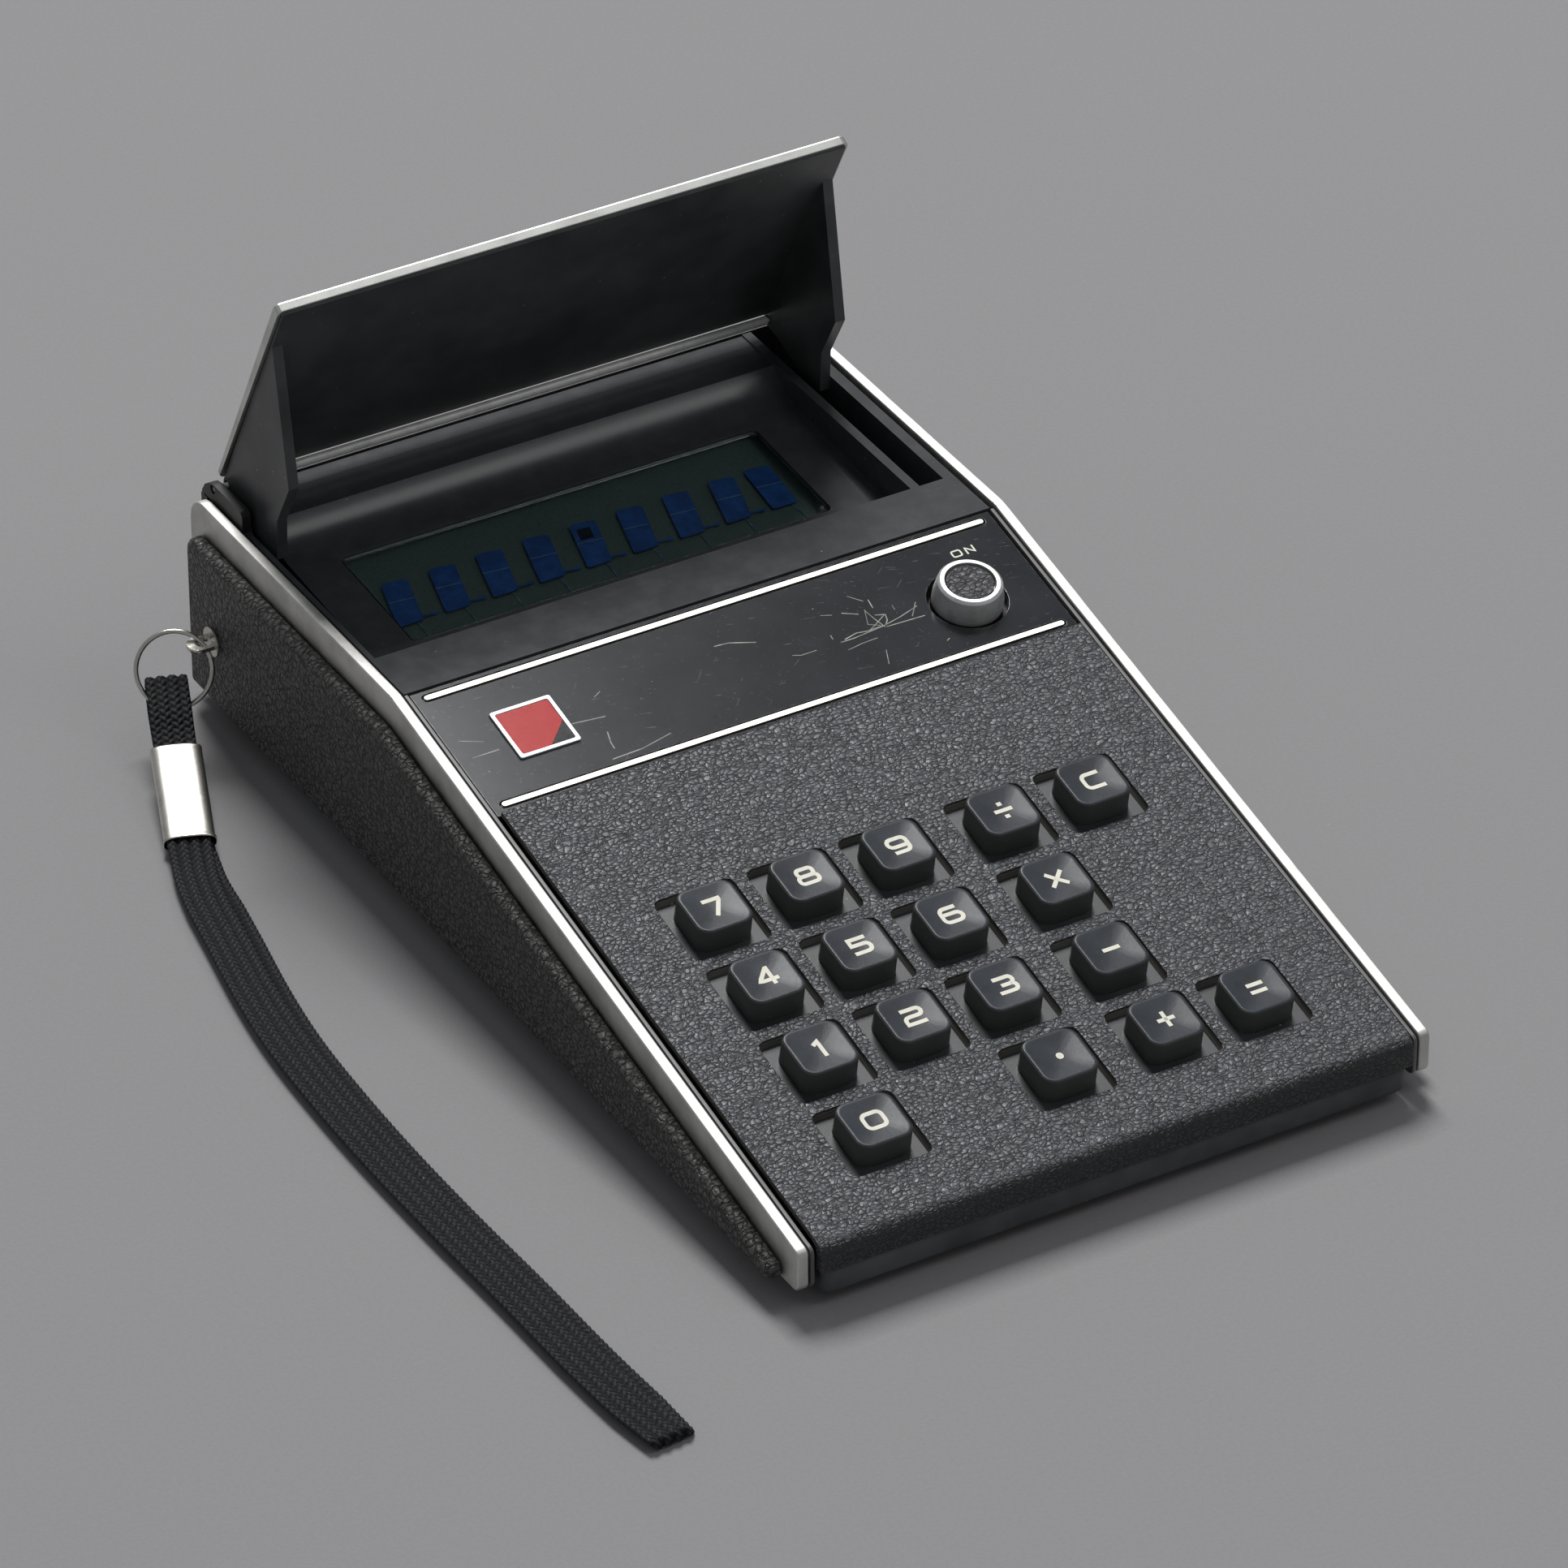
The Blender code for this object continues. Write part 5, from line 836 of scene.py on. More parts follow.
def new_piece(name, mesh, finish, body, smooth=True):
    """Show a mesh as a piece that rides on a body of the model."""
    mesh.name = name
    piece = bpy.data.objects.new(name, mesh)
    bpy.context.scene.collection.objects.link(piece)
    mesh.materials.append(finish)
    if smooth:
        mesh.polygons.foreach_set("use_smooth", [True] * len(mesh.polygons))
    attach(piece, body)
    return piece


def mesh_of(points, faces):
    """Mesh from points in metres and faces of their numbers."""
    mesh = bpy.data.meshes.new("shape")
    mesh.from_pydata([tuple(point) for point in points], [], faces)
    mesh.validate()
    return mesh


def turned_outward(mesh):
    """Mesh with the front of every face outside."""
    shape = bmesh.new()
    shape.from_mesh(mesh)
    bmesh.ops.recalc_face_normals(shape, faces=shape.faces)
    shape.to_mesh(mesh)
    shape.free()
    return mesh


def joined(meshes):
    """One mesh from several."""
    shape = bmesh.new()
    for mesh in meshes:
        shape.from_mesh(mesh)
        bpy.data.meshes.remove(mesh)
    whole = bpy.data.meshes.new("joined")
    shape.to_mesh(whole)
    shape.free()
    return whole


def ring_faces(rings, around, closed_ends=True, closed_loop=False):
    """Faces of a skin over rings of the same number of points."""
    faces = []
    last = rings if closed_loop else rings - 1
    for ring in range(last):
        low, high = ring * around, (ring + 1) % rings * around
        for i in range(around):
            j = (i + 1) % around
            faces.append((low + i, low + j, high + j, high + i))
    if closed_ends and not closed_loop:
        faces.append(tuple(range(around - 1, -1, -1)))
        faces.append(tuple((rings - 1) * around + i for i in range(around)))
    return faces


def rounded_square(half_x, half_y, corner, steps=7):
    """Outline points of a rounded rectangle round the origin."""
    corner = min(corner, half_x * 0.98, half_y * 0.98)
    points = []
    for quarter, (sx, sy) in enumerate(((1, 1), (-1, 1), (-1, -1), (1, -1))):
        for step in range(steps):
            angle = pi / 2 * (quarter + step / (steps - 1))
            x = sx * (half_x - corner) + corner * cos(angle)
            y = sy * (half_y - corner) + corner * sin(angle)
            points.append((x, y))
    return points


def on_keypad(x, s, h):
    """Point in metres for a place on the keypad in millimetres."""
    return KEYPAD @ Vector((x * MM, s * MM, h * MM))


def dish(x, s):
    """Height of a key's hollow top at a place measured from its middle."""
    fall = max(0.0, 1 - (x / KEY_FLAT_HALF) ** 2) * max(0.0, 1 - (s / KEY_FLAT_HALF) ** 2)
    return KEY_TOP - KEY_DISH * fall


def key_mesh(x, s):
    """Square key with rounded corners, a soft top edge, a dished top and the flange that holds it down."""
    rings = [
        (KEY_STEM_HALF, 0.3, KEY_STEM_BOTTOM),
        (KEY_STEM_HALF, 0.3, KEY_FLANGE[0]),
        (KEY_FLANGE_HALF, 1.0, KEY_FLANGE[0]),
        (KEY_FLANGE_HALF, 1.0, KEY_FLANGE[1]),
        (KEY_BASE_HALF, KEY_FLAT_CORNER + KEY_EDGE, KEY_FLANGE[1]),
        (KEY_BASE_HALF, KEY_FLAT_CORNER + KEY_EDGE, -0.7),
    ]
    for step in range(6):
        angle = pi / 2 * step / 5
        away = KEY_EDGE * cos(angle)
        height = KEY_TOP - KEY_EDGE * (1 - sin(angle))
        rings.append((KEY_FLAT_HALF + away, KEY_FLAT_CORNER + away, height))
    points = []
    for half, corner, height in rings:
        for px, ps in rounded_square(half, half, corner):
            points.append(on_keypad(x + px, s + ps, height))
    outline = rounded_square(KEY_FLAT_HALF, KEY_FLAT_HALF, KEY_FLAT_CORNER)
    shares = (0.93, 0.85, 0.75, 0.62, 0.48, 0.33, 0.18, 0.06)
    for share in shares:
        for px, ps in outline:
            points.append(on_keypad(x + px * share, s + ps * share, dish(px * share, ps * share)))
    return mesh_of(points, ring_faces(len(rings) + len(shares), len(outline)))


def stroke_outline(path, width, closed):
    """Left and right edges of a pen stroke along a path, mitred at its bends."""
    count = len(path)
    left, right = [], []
    for i, (x, y) in enumerate(path):
        before = path[i - 1] if closed or i else None
        after = path[(i + 1) % count] if closed or i < count - 1 else None
        directions = []
        for one, other in ((before, (x, y)), ((x, y), after)):
            if one is not None and other is not None:
                length = hypot(other[0] - one[0], other[1] - one[1])
                directions.append(((other[0] - one[0]) / length, (other[1] - one[1]) / length))
        ax = sum(d[0] for d in directions) / len(directions)
        ay = sum(d[1] for d in directions) / len(directions)
        square = ax * ax + ay * ay
        reach = width / 2 / max(square, 0.35)
        left.append((x - ay * reach, y + ax * reach))
        right.append((x + ay * reach, y - ax * reach))
    return left, right


def arc(cx, cy, rx, ry, start, end, steps=8):
    """Points along a part of an ellipse, angles in degrees."""
    angles = [radians(start + (end - start) * i / steps) for i in range(steps + 1)]
    return [(cx + rx * cos(a), cy + ry * sin(a)) for a in angles]


def soft_box(half_x, half_y, corner):
    """Outline of a legend's rounded box."""
    return rounded_square(half_x, half_y, corner, 5)


def legend_strokes(name):
    """Pen strokes of a legend: each a path, whether it closes, and its width."""
    w, a, b = 0.44 if name == "key_point" else 0.5, 1.22, 1.02
    strokes = {
        "key_0": [(soft_box(a, b, 0.62), True)],
        "key_1": [([(-0.62, 0.55), (0.12, 1.0), (0.12, -1.25)], False)],
        "key_2": [([(-1.2, 0.98), (0.72, 0.98), *arc(0.72, 0.5, 0.5, 0.48, 90, -90, 6), (-0.5, 0.02),
                    *arc(-0.6, -0.5, 0.55, 0.5, 90, 180, 4), (-1.15, -1.0), (1.25, -1.0)], False)],
        "key_3": [([(-1.15, 1.0), (0.7, 1.0), *arc(0.7, 0.5, 0.48, 0.5, 90, -90, 6), (-0.5, 0.0)], False),
                  ([(0.6, 0.0), *arc(0.75, -0.5, 0.48, 0.5, 90, -90, 6), (-1.2, -1.0)], False)],
        "key_4": [([(1.25, -0.45), (-1.2, -0.45), (0.35, 1.15), (0.45, 1.15), (0.45, -1.2)], False)],
        "key_5": [([(1.15, 1.0), (-1.0, 1.0), (-1.0, 0.15), (0.65, 0.15),
                    *arc(0.65, -0.42, 0.55, 0.57, 90, -90, 6), (-1.15, -1.0)], False)],
        "key_6": [([(0.95, 1.0), (-0.6, 1.0), *arc(-0.6, 0.4, 0.6, 0.6, 90, 180, 4),
                    *arc(-0.6, -0.42, 0.6, 0.58, 180, 270, 4), *arc(0.6, -0.42, 0.6, 0.58, -90, 90, 6),
                    (-1.05, 0.16)], False)],
        "key_7": [([(-1.15, 1.0), (0.95, 1.0), (0.95, 0.8), (-0.35, -1.3)], False)],
        "key_8": [([(x, y + 0.52) for x, y in soft_box(1.0, 0.5, 0.42)], True),
                  ([(x, y - 0.52) for x, y in soft_box(1.2, 0.52, 0.45)], True)],
        "key_9": [([(-0.95, -1.0), (0.6, -1.0), *arc(0.6, -0.4, 0.6, 0.6, -90, 0, 4),
                    *arc(0.6, 0.42, 0.6, 0.58, 0, 90, 4), *arc(-0.6, 0.42, 0.6, 0.58, 90, 270, 6),
                    (1.05, -0.16)], False)],
        "key_point": [(soft_box(0.22, 0.22, 0.21), True)],
        "key_plus": [([(-1.1, 0.0), (1.1, 0.0)], False), ([(0.0, 1.1), (0.0, -1.1)], False)],
        "key_minus": [([(-1.1, 0.0), (1.1, 0.0)], False)],
        "key_multiply": [([(-1.05, -1.0), (1.05, 1.0)], False), ([(-1.05, 1.0), (1.05, -1.0)], False)],
        "key_divide": [([(-1.15, 0.0), (1.15, 0.0)], False), ([(-0.3, 0.95), (0.3, 0.95)], False),
                       ([(-0.3, -0.95), (0.3, -0.95)], False)],
        "key_equals": [([(-1.05, 0.52), (1.05, 0.52)], False), ([(-1.05, -0.52), (1.05, -0.52)], False)],
        "key_clear": [([(1.15, 1.0), (-0.55, 1.0), *arc(-0.55, 0.4, 0.6, 0.6, 90, 180, 4),
                        *arc(-0.55, -0.4, 0.6, 0.6, 180, 270, 4), (1.15, -1.0)], False)],
        "on": [([(x - 1.15, y) for x, y in soft_box(0.72, 0.6, 0.3)], True),
               ([(0.45, -0.78), (0.45, 0.62), (1.75, -0.62), (1.75, 0.78)], False)],
    }[name]
    return [(path, closed, w) for path, closed in strokes]


def ribbons(strokes, surface, rise=0.02, thickness=0.05):
    """Thin printed strokes laid on a surface; surface gives a point for x, y and a height above it."""
    points, faces = [], []
    for drawn, closed, width in strokes:
        path = [drawn[0]]
        for spot in drawn[1:]:
            if hypot(spot[0] - path[-1][0], spot[1] - path[-1][1]) > 0.02:
                path.append(spot)
        if closed and hypot(path[0][0] - path[-1][0], path[0][1] - path[-1][1]) < 0.02:
            path.pop()
        fine = []
        count = len(path)
        for i in range(count if closed else count - 1):
            (x0, y0), (x1, y1) = path[i], path[(i + 1) % count]
            pieces = max(1, int(hypot(x1 - x0, y1 - y0) / 0.4))
            fine += [(x0 + (x1 - x0) * k / pieces, y0 + (y1 - y0) * k / pieces) for k in range(pieces)]
        if not closed:
            fine.append(path[-1])
        left, right = stroke_outline(fine, width, closed)
        base = len(points)
        for (lx, ly), (rx, ry) in zip(left, right):
            points += [surface(lx, ly, rise), surface(rx, ry, rise)]
            points += [surface(rx, ry, rise - thickness), surface(lx, ly, rise - thickness)]
        spans = len(fine) if closed else len(fine) - 1
        for i in range(spans):
            a, b = base + 4 * i, base + 4 * ((i + 1) % len(fine))
            for k in range(4):
                n = (k + 1) % 4
                faces.append((a + k, b + k, b + n, a + n))
        if not closed:
            faces.append((base, base + 1, base + 2, base + 3))
            end = base + 4 * (len(fine) - 1)
            faces.append((end + 3, end + 2, end + 1, end))
    return turned_outward(mesh_of(points, faces))


def key_places():
    """Each key's name with its x and s on the keypad."""
    for row, names in enumerate(KEY_ROWS):
        for column, name in enumerate(names):
            if name:
                x = KEY_LEFT_X + KEY_PITCH * column + (OPERATOR_SHIFT if column >= OPERATOR_COLUMN else 0)
                yield name, x, KEY_FIRST_S - KEY_PITCH * row


def make_keys():
    """Each key's cap with its printed legend."""
    for name, x, s in key_places():
        cap = new_piece(f"{name}_cap", key_mesh(x, s), KEY_BLACK, name)
        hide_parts(name)

        def surface(px, ps, rise):
            across, along = LEGEND_WIDER * px, LEGEND_LONGER * ps
            return on_keypad(x + across, s + along, dish(across, along) + rise)

        mesh = ribbons(legend_strokes(name), surface)
        new_piece(f"{name}_legend", mesh, LEGEND_CREAM, name, smooth=False)


def make_recess_fillets():
    """Soft dusty fillet where the floor of each key recess meets the cover's wall."""
    rings = []
    for _, x, s in key_places():
        points = []
        for grow, drop in FILLET_STATIONS:
            half = RECESS_HALF + grow
            outline = rounded_square(half, half, RECESS_CORNER + grow)
            points += [on_keypad(x + px, s + ps, -drop) for px, ps in outline]
        rings.append(mesh_of(points, ring_faces(len(FILLET_STATIONS), len(outline), closed_loop=True)))
    mesh = turned_outward(joined(rings))
    new_piece("recess_fillets", mesh, RECESS_EDGE, "body")


# Strap, loop, ring and clamp


def smooth_path(points, steps):
    """Places at even shares of a smooth curve through points."""
    places = [Vector(point) for point in points]
    places = [2 * places[0] - places[1], *places, 2 * places[-1] - places[-2]]
    count = len(places) - 3
    path = []
    for i in range(steps + 1):
        k = min(i * count // steps, count - 1)
        u = i / steps * count - k
        a, b, c, d = places[k : k + 4]
        square = 2 * a - 5 * b + 4 * c - d
        cube = 3 * b - a - 3 * c + d
        path.append((2 * b + (c - a) * u + square * u**2 + cube * u**3) / 2)
    return path


def splay_at(along, total):
    """How far apart sideways the two layers lie at a distance from the clamp."""
    opening = min(1.0, max(0.0, along / STRAP_SPLAY_LENGTH))
    closing = min(1.0, (total - along) / STRAP_FOLD_LENGTH)
    return STRAP_SPLAY * opening * (1 + closing) / 2


def strap_route(steps, fold_steps):
    """Middle line of the strap: down the lower layer, round the fold and back along the upper one."""
    spine = smooth_path(STRAP_SPINE, steps)
    lengths = [0.0]
    for before, after in zip(spine, spine[1:]):
        lengths.append(lengths[-1] + (after - before).length)
    total = lengths[-1]
    lower, upper = [], []
    for i, place in enumerate(spine):
        ahead = spine[min(i + 1, steps)] - spine[max(i - 1, 0)]
        side = Vector((0, 0, 1)).cross(ahead).normalized()
        up = ahead.cross(side).normalized()
        apart = splay_at(lengths[i], total) / 2
        lower.append((place + side * apart - up * LAYER_PITCH / 2, side))
        upper.append((place - side * apart + up * LAYER_PITCH / 2, side))
    ahead = ahead.normalized()
    fold = []
    for i in range(1, fold_steps):
        angle = pi * i / fold_steps
        middle = lower[-1][0].lerp(upper[-1][0], (1 - cos(angle)) / 2)
        fold.append((middle + ahead * sin(angle) * LAYER_PITCH / 2, side))
    return [*lower, *fold, *reversed(upper)]


def bight_route(steps, fold_steps):
    """Middle line of the loop from the clamp round the ring's wire and back."""
    start = Matrix.Translation((0, CLAMP_LENGTH, 0))
    spine = smooth_path(BIGHT_SPINE, steps)
    legs = {-1: [], 1: []}
    for i, place in enumerate(spine):
        after = spine[min(i + 1, steps)]
        before = spine[max(i - 1, 0)]
        ahead = Vector((after.x - before.x, after.y - before.y)).normalized()
        for leg in legs:
            away = leg * place.z
            legs[leg].append(Vector((0, place.x - ahead.y * away, place.y + ahead.x * away)))
    ahead = Vector((0, ahead.x, ahead.y))
    up = Vector((0, -ahead.z, ahead.y))
    tip = Vector((0, spine[-1].x, spine[-1].y))
    reach = spine[-1].z
    turns = [pi * i / fold_steps for i in range(1, fold_steps)]
    fold = [tip + (ahead * sin(a) - up * cos(a)) * reach for a in turns]
    side = (CLAMP.to_3x3() @ Vector((1, 0, 0))).normalized()
    return [(CLAMP @ start @ place, side) for place in [*legs[-1], *fold, *reversed(legs[1])]]


def even_route(route, step):
    """Route with its places an even step apart."""
    places = np.array([tuple(place) for place, _ in route])
    sides = np.array([tuple(side) for _, side in route])
    along = np.concatenate([[0.0], np.cumsum(np.linalg.norm(np.diff(places, axis=0), axis=1))])
    count = int(along[-1] / step)
    at = np.linspace(0, along[-1], count + 1)
    places = np.stack([np.interp(at, along, places[:, k]) for k in range(3)], 1)
    sides = np.stack([np.interp(at, along, sides[:, k]) for k in range(3)], 1)
    sides /= np.linalg.norm(sides, axis=1)[:, None]
    return places, sides, at


def yarn_field(around, along, column_width):
    """Height and local place of the braid's stitches for places round and along the band."""
    height = np.zeros(around.shape)
    long_at = np.zeros(around.shape)
    broad_at = np.zeros(around.shape)
    column = np.floor(around / column_width).astype(int)
    for dc in (-1, 0, 1):
        c = column + dc
        slant = np.where(c % 2 == 0, YARN_SLANT, -YARN_SLANT)
        across = around - (c + 0.5) * column_width
        shift = np.where(c % 2 == 0, 0.0, 0.5)
        row = np.floor(along / YARN_PITCH - shift).astype(int)
        for dr in (-1, 0, 1):
            away = along - (row + dr + 0.5 + shift) * YARN_PITCH
            a = away * np.cos(slant) + across * np.sin(slant)
            b = -away * np.sin(slant) + across * np.cos(slant)
            inside = 1 - (a / YARN_LONG) ** 2 - (b / YARN_BROAD) ** 2
            level = np.sqrt(np.clip(inside, 0, 1))
            higher = level > height
            height = np.where(higher, level, height)
            long_at = np.where(higher, a + 7.0 * (row + dr) + 3.0 * c, long_at)
            broad_at = np.where(higher, b + 5.0 * c, broad_at)
    return height, long_at, broad_at


def braided_band(route, width, wall):
    """Flat braided band of closed section along a route, with its stitches as real relief."""
    places, sides, at = even_route(route, BRAID_STEP)
    ahead = np.gradient(places, axis=0)
    up = np.cross(ahead, sides)
    up /= np.linalg.norm(up, axis=1)[:, None]
    angle = np.linspace(0, 2 * pi, 721)
    power = 2 / 3.2
    cx = np.sign(np.cos(angle)) * np.abs(np.cos(angle)) ** power * width / 2
    cy = np.sign(np.sin(angle)) * np.abs(np.sin(angle)) ** power * wall / 2
    length = np.concatenate([[0.0], np.cumsum(np.hypot(np.diff(cx), np.diff(cy)))])
    girth = length[-1]
    stops = np.linspace(0, girth, BRAID_SIDES, endpoint=False)
    px = np.interp(stops, length, cx)
    py = np.interp(stops, length, cy)
    tx = np.roll(px, -1) - np.roll(px, 1)
    ty = np.roll(py, -1) - np.roll(py, 1)
    norm = np.hypot(tx, ty)
    nx, ny = ty / norm, -tx / norm
    around, along = np.meshgrid(stops, at)
    height, long_at, broad_at = yarn_field(around, along, girth / BRAID_COLUMNS)
    ridge = -np.cos(pi * BRAID_COLUMNS / girth * stops)[None, :]
    lift = (height - 0.78) * YARN_RISE + ridge * BRAID_RIDGE_RISE
    height = height * (0.78 + 0.22 * ridge)
    ox = px[None, :] + nx[None, :] * lift
    oy = py[None, :] + ny[None, :] * lift
    points = places[:, None, :] + sides[:, None, :] * ox[..., None] + up[:, None, :] * oy[..., None]
    rings, around_count = ox.shape
    mesh = bpy.data.meshes.new("band")
    quads = np.array(ring_faces(rings, around_count, closed_ends=False))
    last = (rings - 1) * around_count
    ends = [tuple(range(around_count - 1, -1, -1)), tuple(range(last, last + around_count))]
    mesh.from_pydata((points.reshape(-1, 3) * MM).tolist(), [], quads.tolist() + ends)
    rise = mesh.attributes.new("rise", "FLOAT", "POINT")
    rise.data.foreach_set("value", height.reshape(-1).astype(np.float32))
    layer = mesh.uv_layers.new(name="stitch")
    corner = np.zeros(len(mesh.loops), dtype=np.int32)
    mesh.loops.foreach_get("vertex_index", corner)
    flat = np.stack([long_at.reshape(-1), broad_at.reshape(-1)], 1)
    layer.data.foreach_set("uv", flat[corner].astype(np.float32).reshape(-1))
    return mesh


def ring_mesh():
    """Round wire ring with a fine joint in it."""
    axis = RING_AXIS.normalized()
    down = (RING_DOWN - axis * RING_DOWN.dot(axis)).normalized()
    across = axis.cross(down)
    centre = TAB_HOLE + RING_DOWN * RING_RADIUS
    points = []
    for i in range(RING_STEPS):
        angle = 2 * pi * i / RING_STEPS
        away = abs((angle - RING_JOINT + pi) % (2 * pi) - pi)
        wire = RING_WIRE * (RING_JOINT_SHARE if away < RING_JOINT_HALF else 1.0)
        out = down * cos(angle) + across * sin(angle)
        for k in range(WIRE_SIDES):
            turn = 2 * pi * k / WIRE_SIDES
            points.append((centre + out * (RING_RADIUS + wire * cos(turn)) + axis * wire * sin(turn)) * MM)
    return mesh_of(points, ring_faces(RING_STEPS, WIRE_SIDES, closed_loop=True))


def sleeve_section(half, rise):
    """Outline of the clamp: nearly flat above and below, broadly rounded at its sides."""
    points = []
    for i in range(CLAMP_SIDES):
        angle = 2 * pi * i / CLAMP_SIDES
        across = abs(cos(angle)) ** (2 / CLAMP_FLATNESS) * half
        away = abs(sin(angle)) ** (2 / CLAMP_FLATNESS) * rise
        points.append((across if cos(angle) > 0 else -across, away if sin(angle) > 0 else -away))
    return points


def clamp_mesh():
    """Folded sleeve with broad rounded sides and a rolled lip at each mouth."""
    stations = [
        (0.0, 0.10), (0.25, CLAMP_LIP), (0.6, 0.08), (1.0, 0.0), (5.0, 0.0), (9.0, -0.02), (13.0, 0.0),
        (CLAMP_LENGTH - 0.8, 0.0), (CLAMP_LENGTH - 0.3, 0.06), (CLAMP_LENGTH, 0.02),
    ]
    outer_half, outer_rise = CLAMP_HALF - CLAMP_LIP, CLAMP_RISE - CLAMP_LIP
    outside = list(stations)
    inside = [(along, grow - CLAMP_WALL + CLAMP_LIP) for along, grow in reversed(stations)]
    points = []
    for along, grow in outside + inside:
        for x, z in sleeve_section(outer_half + grow, outer_rise + grow):
            points.append(CLAMP @ Vector((x, along, z)) * MM)
    return mesh_of(points, ring_faces(2 * len(stations), CLAMP_SIDES, closed_loop=True))


def make_strap():
    """Braided wrist strap with its clamp, loop and ring."""
    route = strap_route(BRAID_ROUTE_STEPS, BRAID_FOLD_STEPS)
    strap = new_piece("wrist_braid", braided_band(route, STRAP_WIDTH, STRAP_WALL), BRAID, "strap")
    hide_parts("wrist_strap")
    loop = braided_band(bight_route(LOOP_ROUTE_STEPS, BRAID_FOLD_STEPS), BIGHT_WIDTH, STRAP_WALL)
    bight = new_piece("loop_braid", loop, BRAID, "strap")
    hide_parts("strap_bight")
    ring = new_piece("ring_wire", ring_mesh(), RING_METAL, "strap")
    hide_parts("strap_ring")
    clamp = new_piece("clamp_sleeve", clamp_mesh(), CLAMP_METAL, "strap")
    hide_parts("strap_clamp")
    coarse = [place * MM for place, _ in strap_route(CORD_ROUTE_STEPS, CORD_FOLD_STEPS)]
    length = sum((b - a).length for a, b in zip(coarse, coarse[1:]))
    tuple(coarse[0])


# Display, badge, mark and door grip


def prism(outline, place, low, high, bevel=0.0):
    """Solid of an outline between two heights; place turns x, y and a height into a point."""
    rings = [(outline, low), (outline, high - bevel)]
    if bevel:
        middle_x = sum(x for x, _ in outline) / len(outline)
        middle_y = sum(y for _, y in outline) / len(outline)
        reach = max(max(abs(x - middle_x), abs(y - middle_y)) for x, y in outline)
        share = 1 - bevel / reach
        inner = [(middle_x + (x - middle_x) * share, middle_y + (y - middle_y) * share) for x, y in outline]
        rings.append((inner, high))
    points = [place(x, y, h) for ring, h in rings for x, y in ring]
    return mesh_of(points, ring_faces(len(rings), len(outline)))


DIGIT_COUNT = 9
DIGIT_PITCH = 7.92
DIGIT_LEFT_X = -36.6
DIGIT_FRONT_Y = 52.5
DIGIT_LENGTH = 10.5
DIGIT_WIDTH = 4.2
DIGIT_CORNER = 0.7
DIGIT_LEAN = 2.6
LAST_DIGIT_LEAN = 0.75
DIGIT_RISE = 0.5
FLOOR_TILT = 0.0669


def make_display():
    """Floor under the glass with nine dark blue digit places, each with its line and lead, and a tail on all
    but the last.
    """
    low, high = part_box("display_panel")
    low, high = low / MM, high / MM

    def on_floor(x, y, h):
        return Vector((x, y, high.z - DIGIT_RISE - 0.1 - FLOOR_TILT * (high.y - y) + h)) * MM

    half_x, half_y = (high.x - low.x) / 2, (high.y - low.y) / 2
    middle_x, middle_y = (low.x + high.x) / 2, (low.y + high.y) / 2
    plate = [(middle_x + x, middle_y + y) for x, y in rounded_square(half_x, half_y, 1.0, 4)]
    floor = prism(plate, on_floor, -0.9, 0.0)
    base = new_piece("digit_floor", floor, DISPLAY_FLOOR, "body", False)
    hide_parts("display_panel")
    tiles, lines, leads = [], [], []
    for i in range(DIGIT_COUNT):
        lean = LAST_DIGIT_LEAN if i == DIGIT_COUNT - 1 else DIGIT_LEAN

        def at(x, y, i=i, lean=lean):
            share = y / DIGIT_LENGTH
            return (DIGIT_LEFT_X + DIGIT_PITCH * i + x + lean * share, DIGIT_FRONT_Y + y - 0.13 * x * share)

        round_x, round_y = DIGIT_WIDTH - DIGIT_CORNER, DIGIT_LENGTH - DIGIT_CORNER
        flag = [at(x, y) for x, y in (
            (0.25, 0.0), (DIGIT_WIDTH - 0.25, 0.0), (DIGIT_WIDTH, 0.3),
            *arc(round_x, round_y, DIGIT_CORNER, DIGIT_CORNER, 0, 90, 4),
            *arc(DIGIT_CORNER, round_y, DIGIT_CORNER, DIGIT_CORNER, 90, 180, 4),
            (0.0, 0.3))]
        tiles.append(prism(flag, on_floor, DIGIT_RISE - 0.12, DIGIT_RISE))
        line = [at(0.0, 5.7), at(DIGIT_WIDTH, 5.55), at(DIGIT_WIDTH, 5.73), at(0.0, 5.88)]
        lines.append(prism(line, on_floor, DIGIT_RISE - 0.05, DIGIT_RISE + 0.03))
        lead = [at(4.25, -4.6), at(4.45, -4.6), at(3.3, 0.2), at(3.1, 0.2)]
        leads.append(prism(lead, on_floor, DIGIT_RISE - 0.45, DIGIT_RISE - 0.36))
        if i < DIGIT_COUNT - 1:
            tail = [at(DIGIT_WIDTH - 0.2, 0.75), at(6.0, 0.45), at(6.5, 0.3), at(6.9, 0.5),
                    at(6.8, 0.95), at(6.2, 1.1), at(5.4, 0.85), at(DIGIT_WIDTH - 0.2, 1.05)]
            tiles.append(prism(tail, on_floor, DIGIT_RISE - 0.1, DIGIT_RISE - 0.02))
        if i == DIGIT_COUNT // 2:
            shade = [at(0.8, 6.4), at(3.0, 6.4), at(3.0, 9.0), at(0.8, 9.0)]
            dark = prism(shade, on_floor, DIGIT_RISE - 0.05, DIGIT_RISE + 0.03)
            new_piece("digit_shade", dark, DIGIT_DARK, "body", False)
    new_piece("digit_flags", joined(tiles), DIGIT_NAVY, "body", False)
    new_piece("digit_lines", joined(lines), DIGIT_LINE, "body", False)
    new_piece("digit_leads", joined(leads), LEAD_METAL, "body", False)


BADGE_X = -35.0
BADGE_S = -13.4
BADGE_HALF = 5.0
PLATE_SURFACE = -0.7


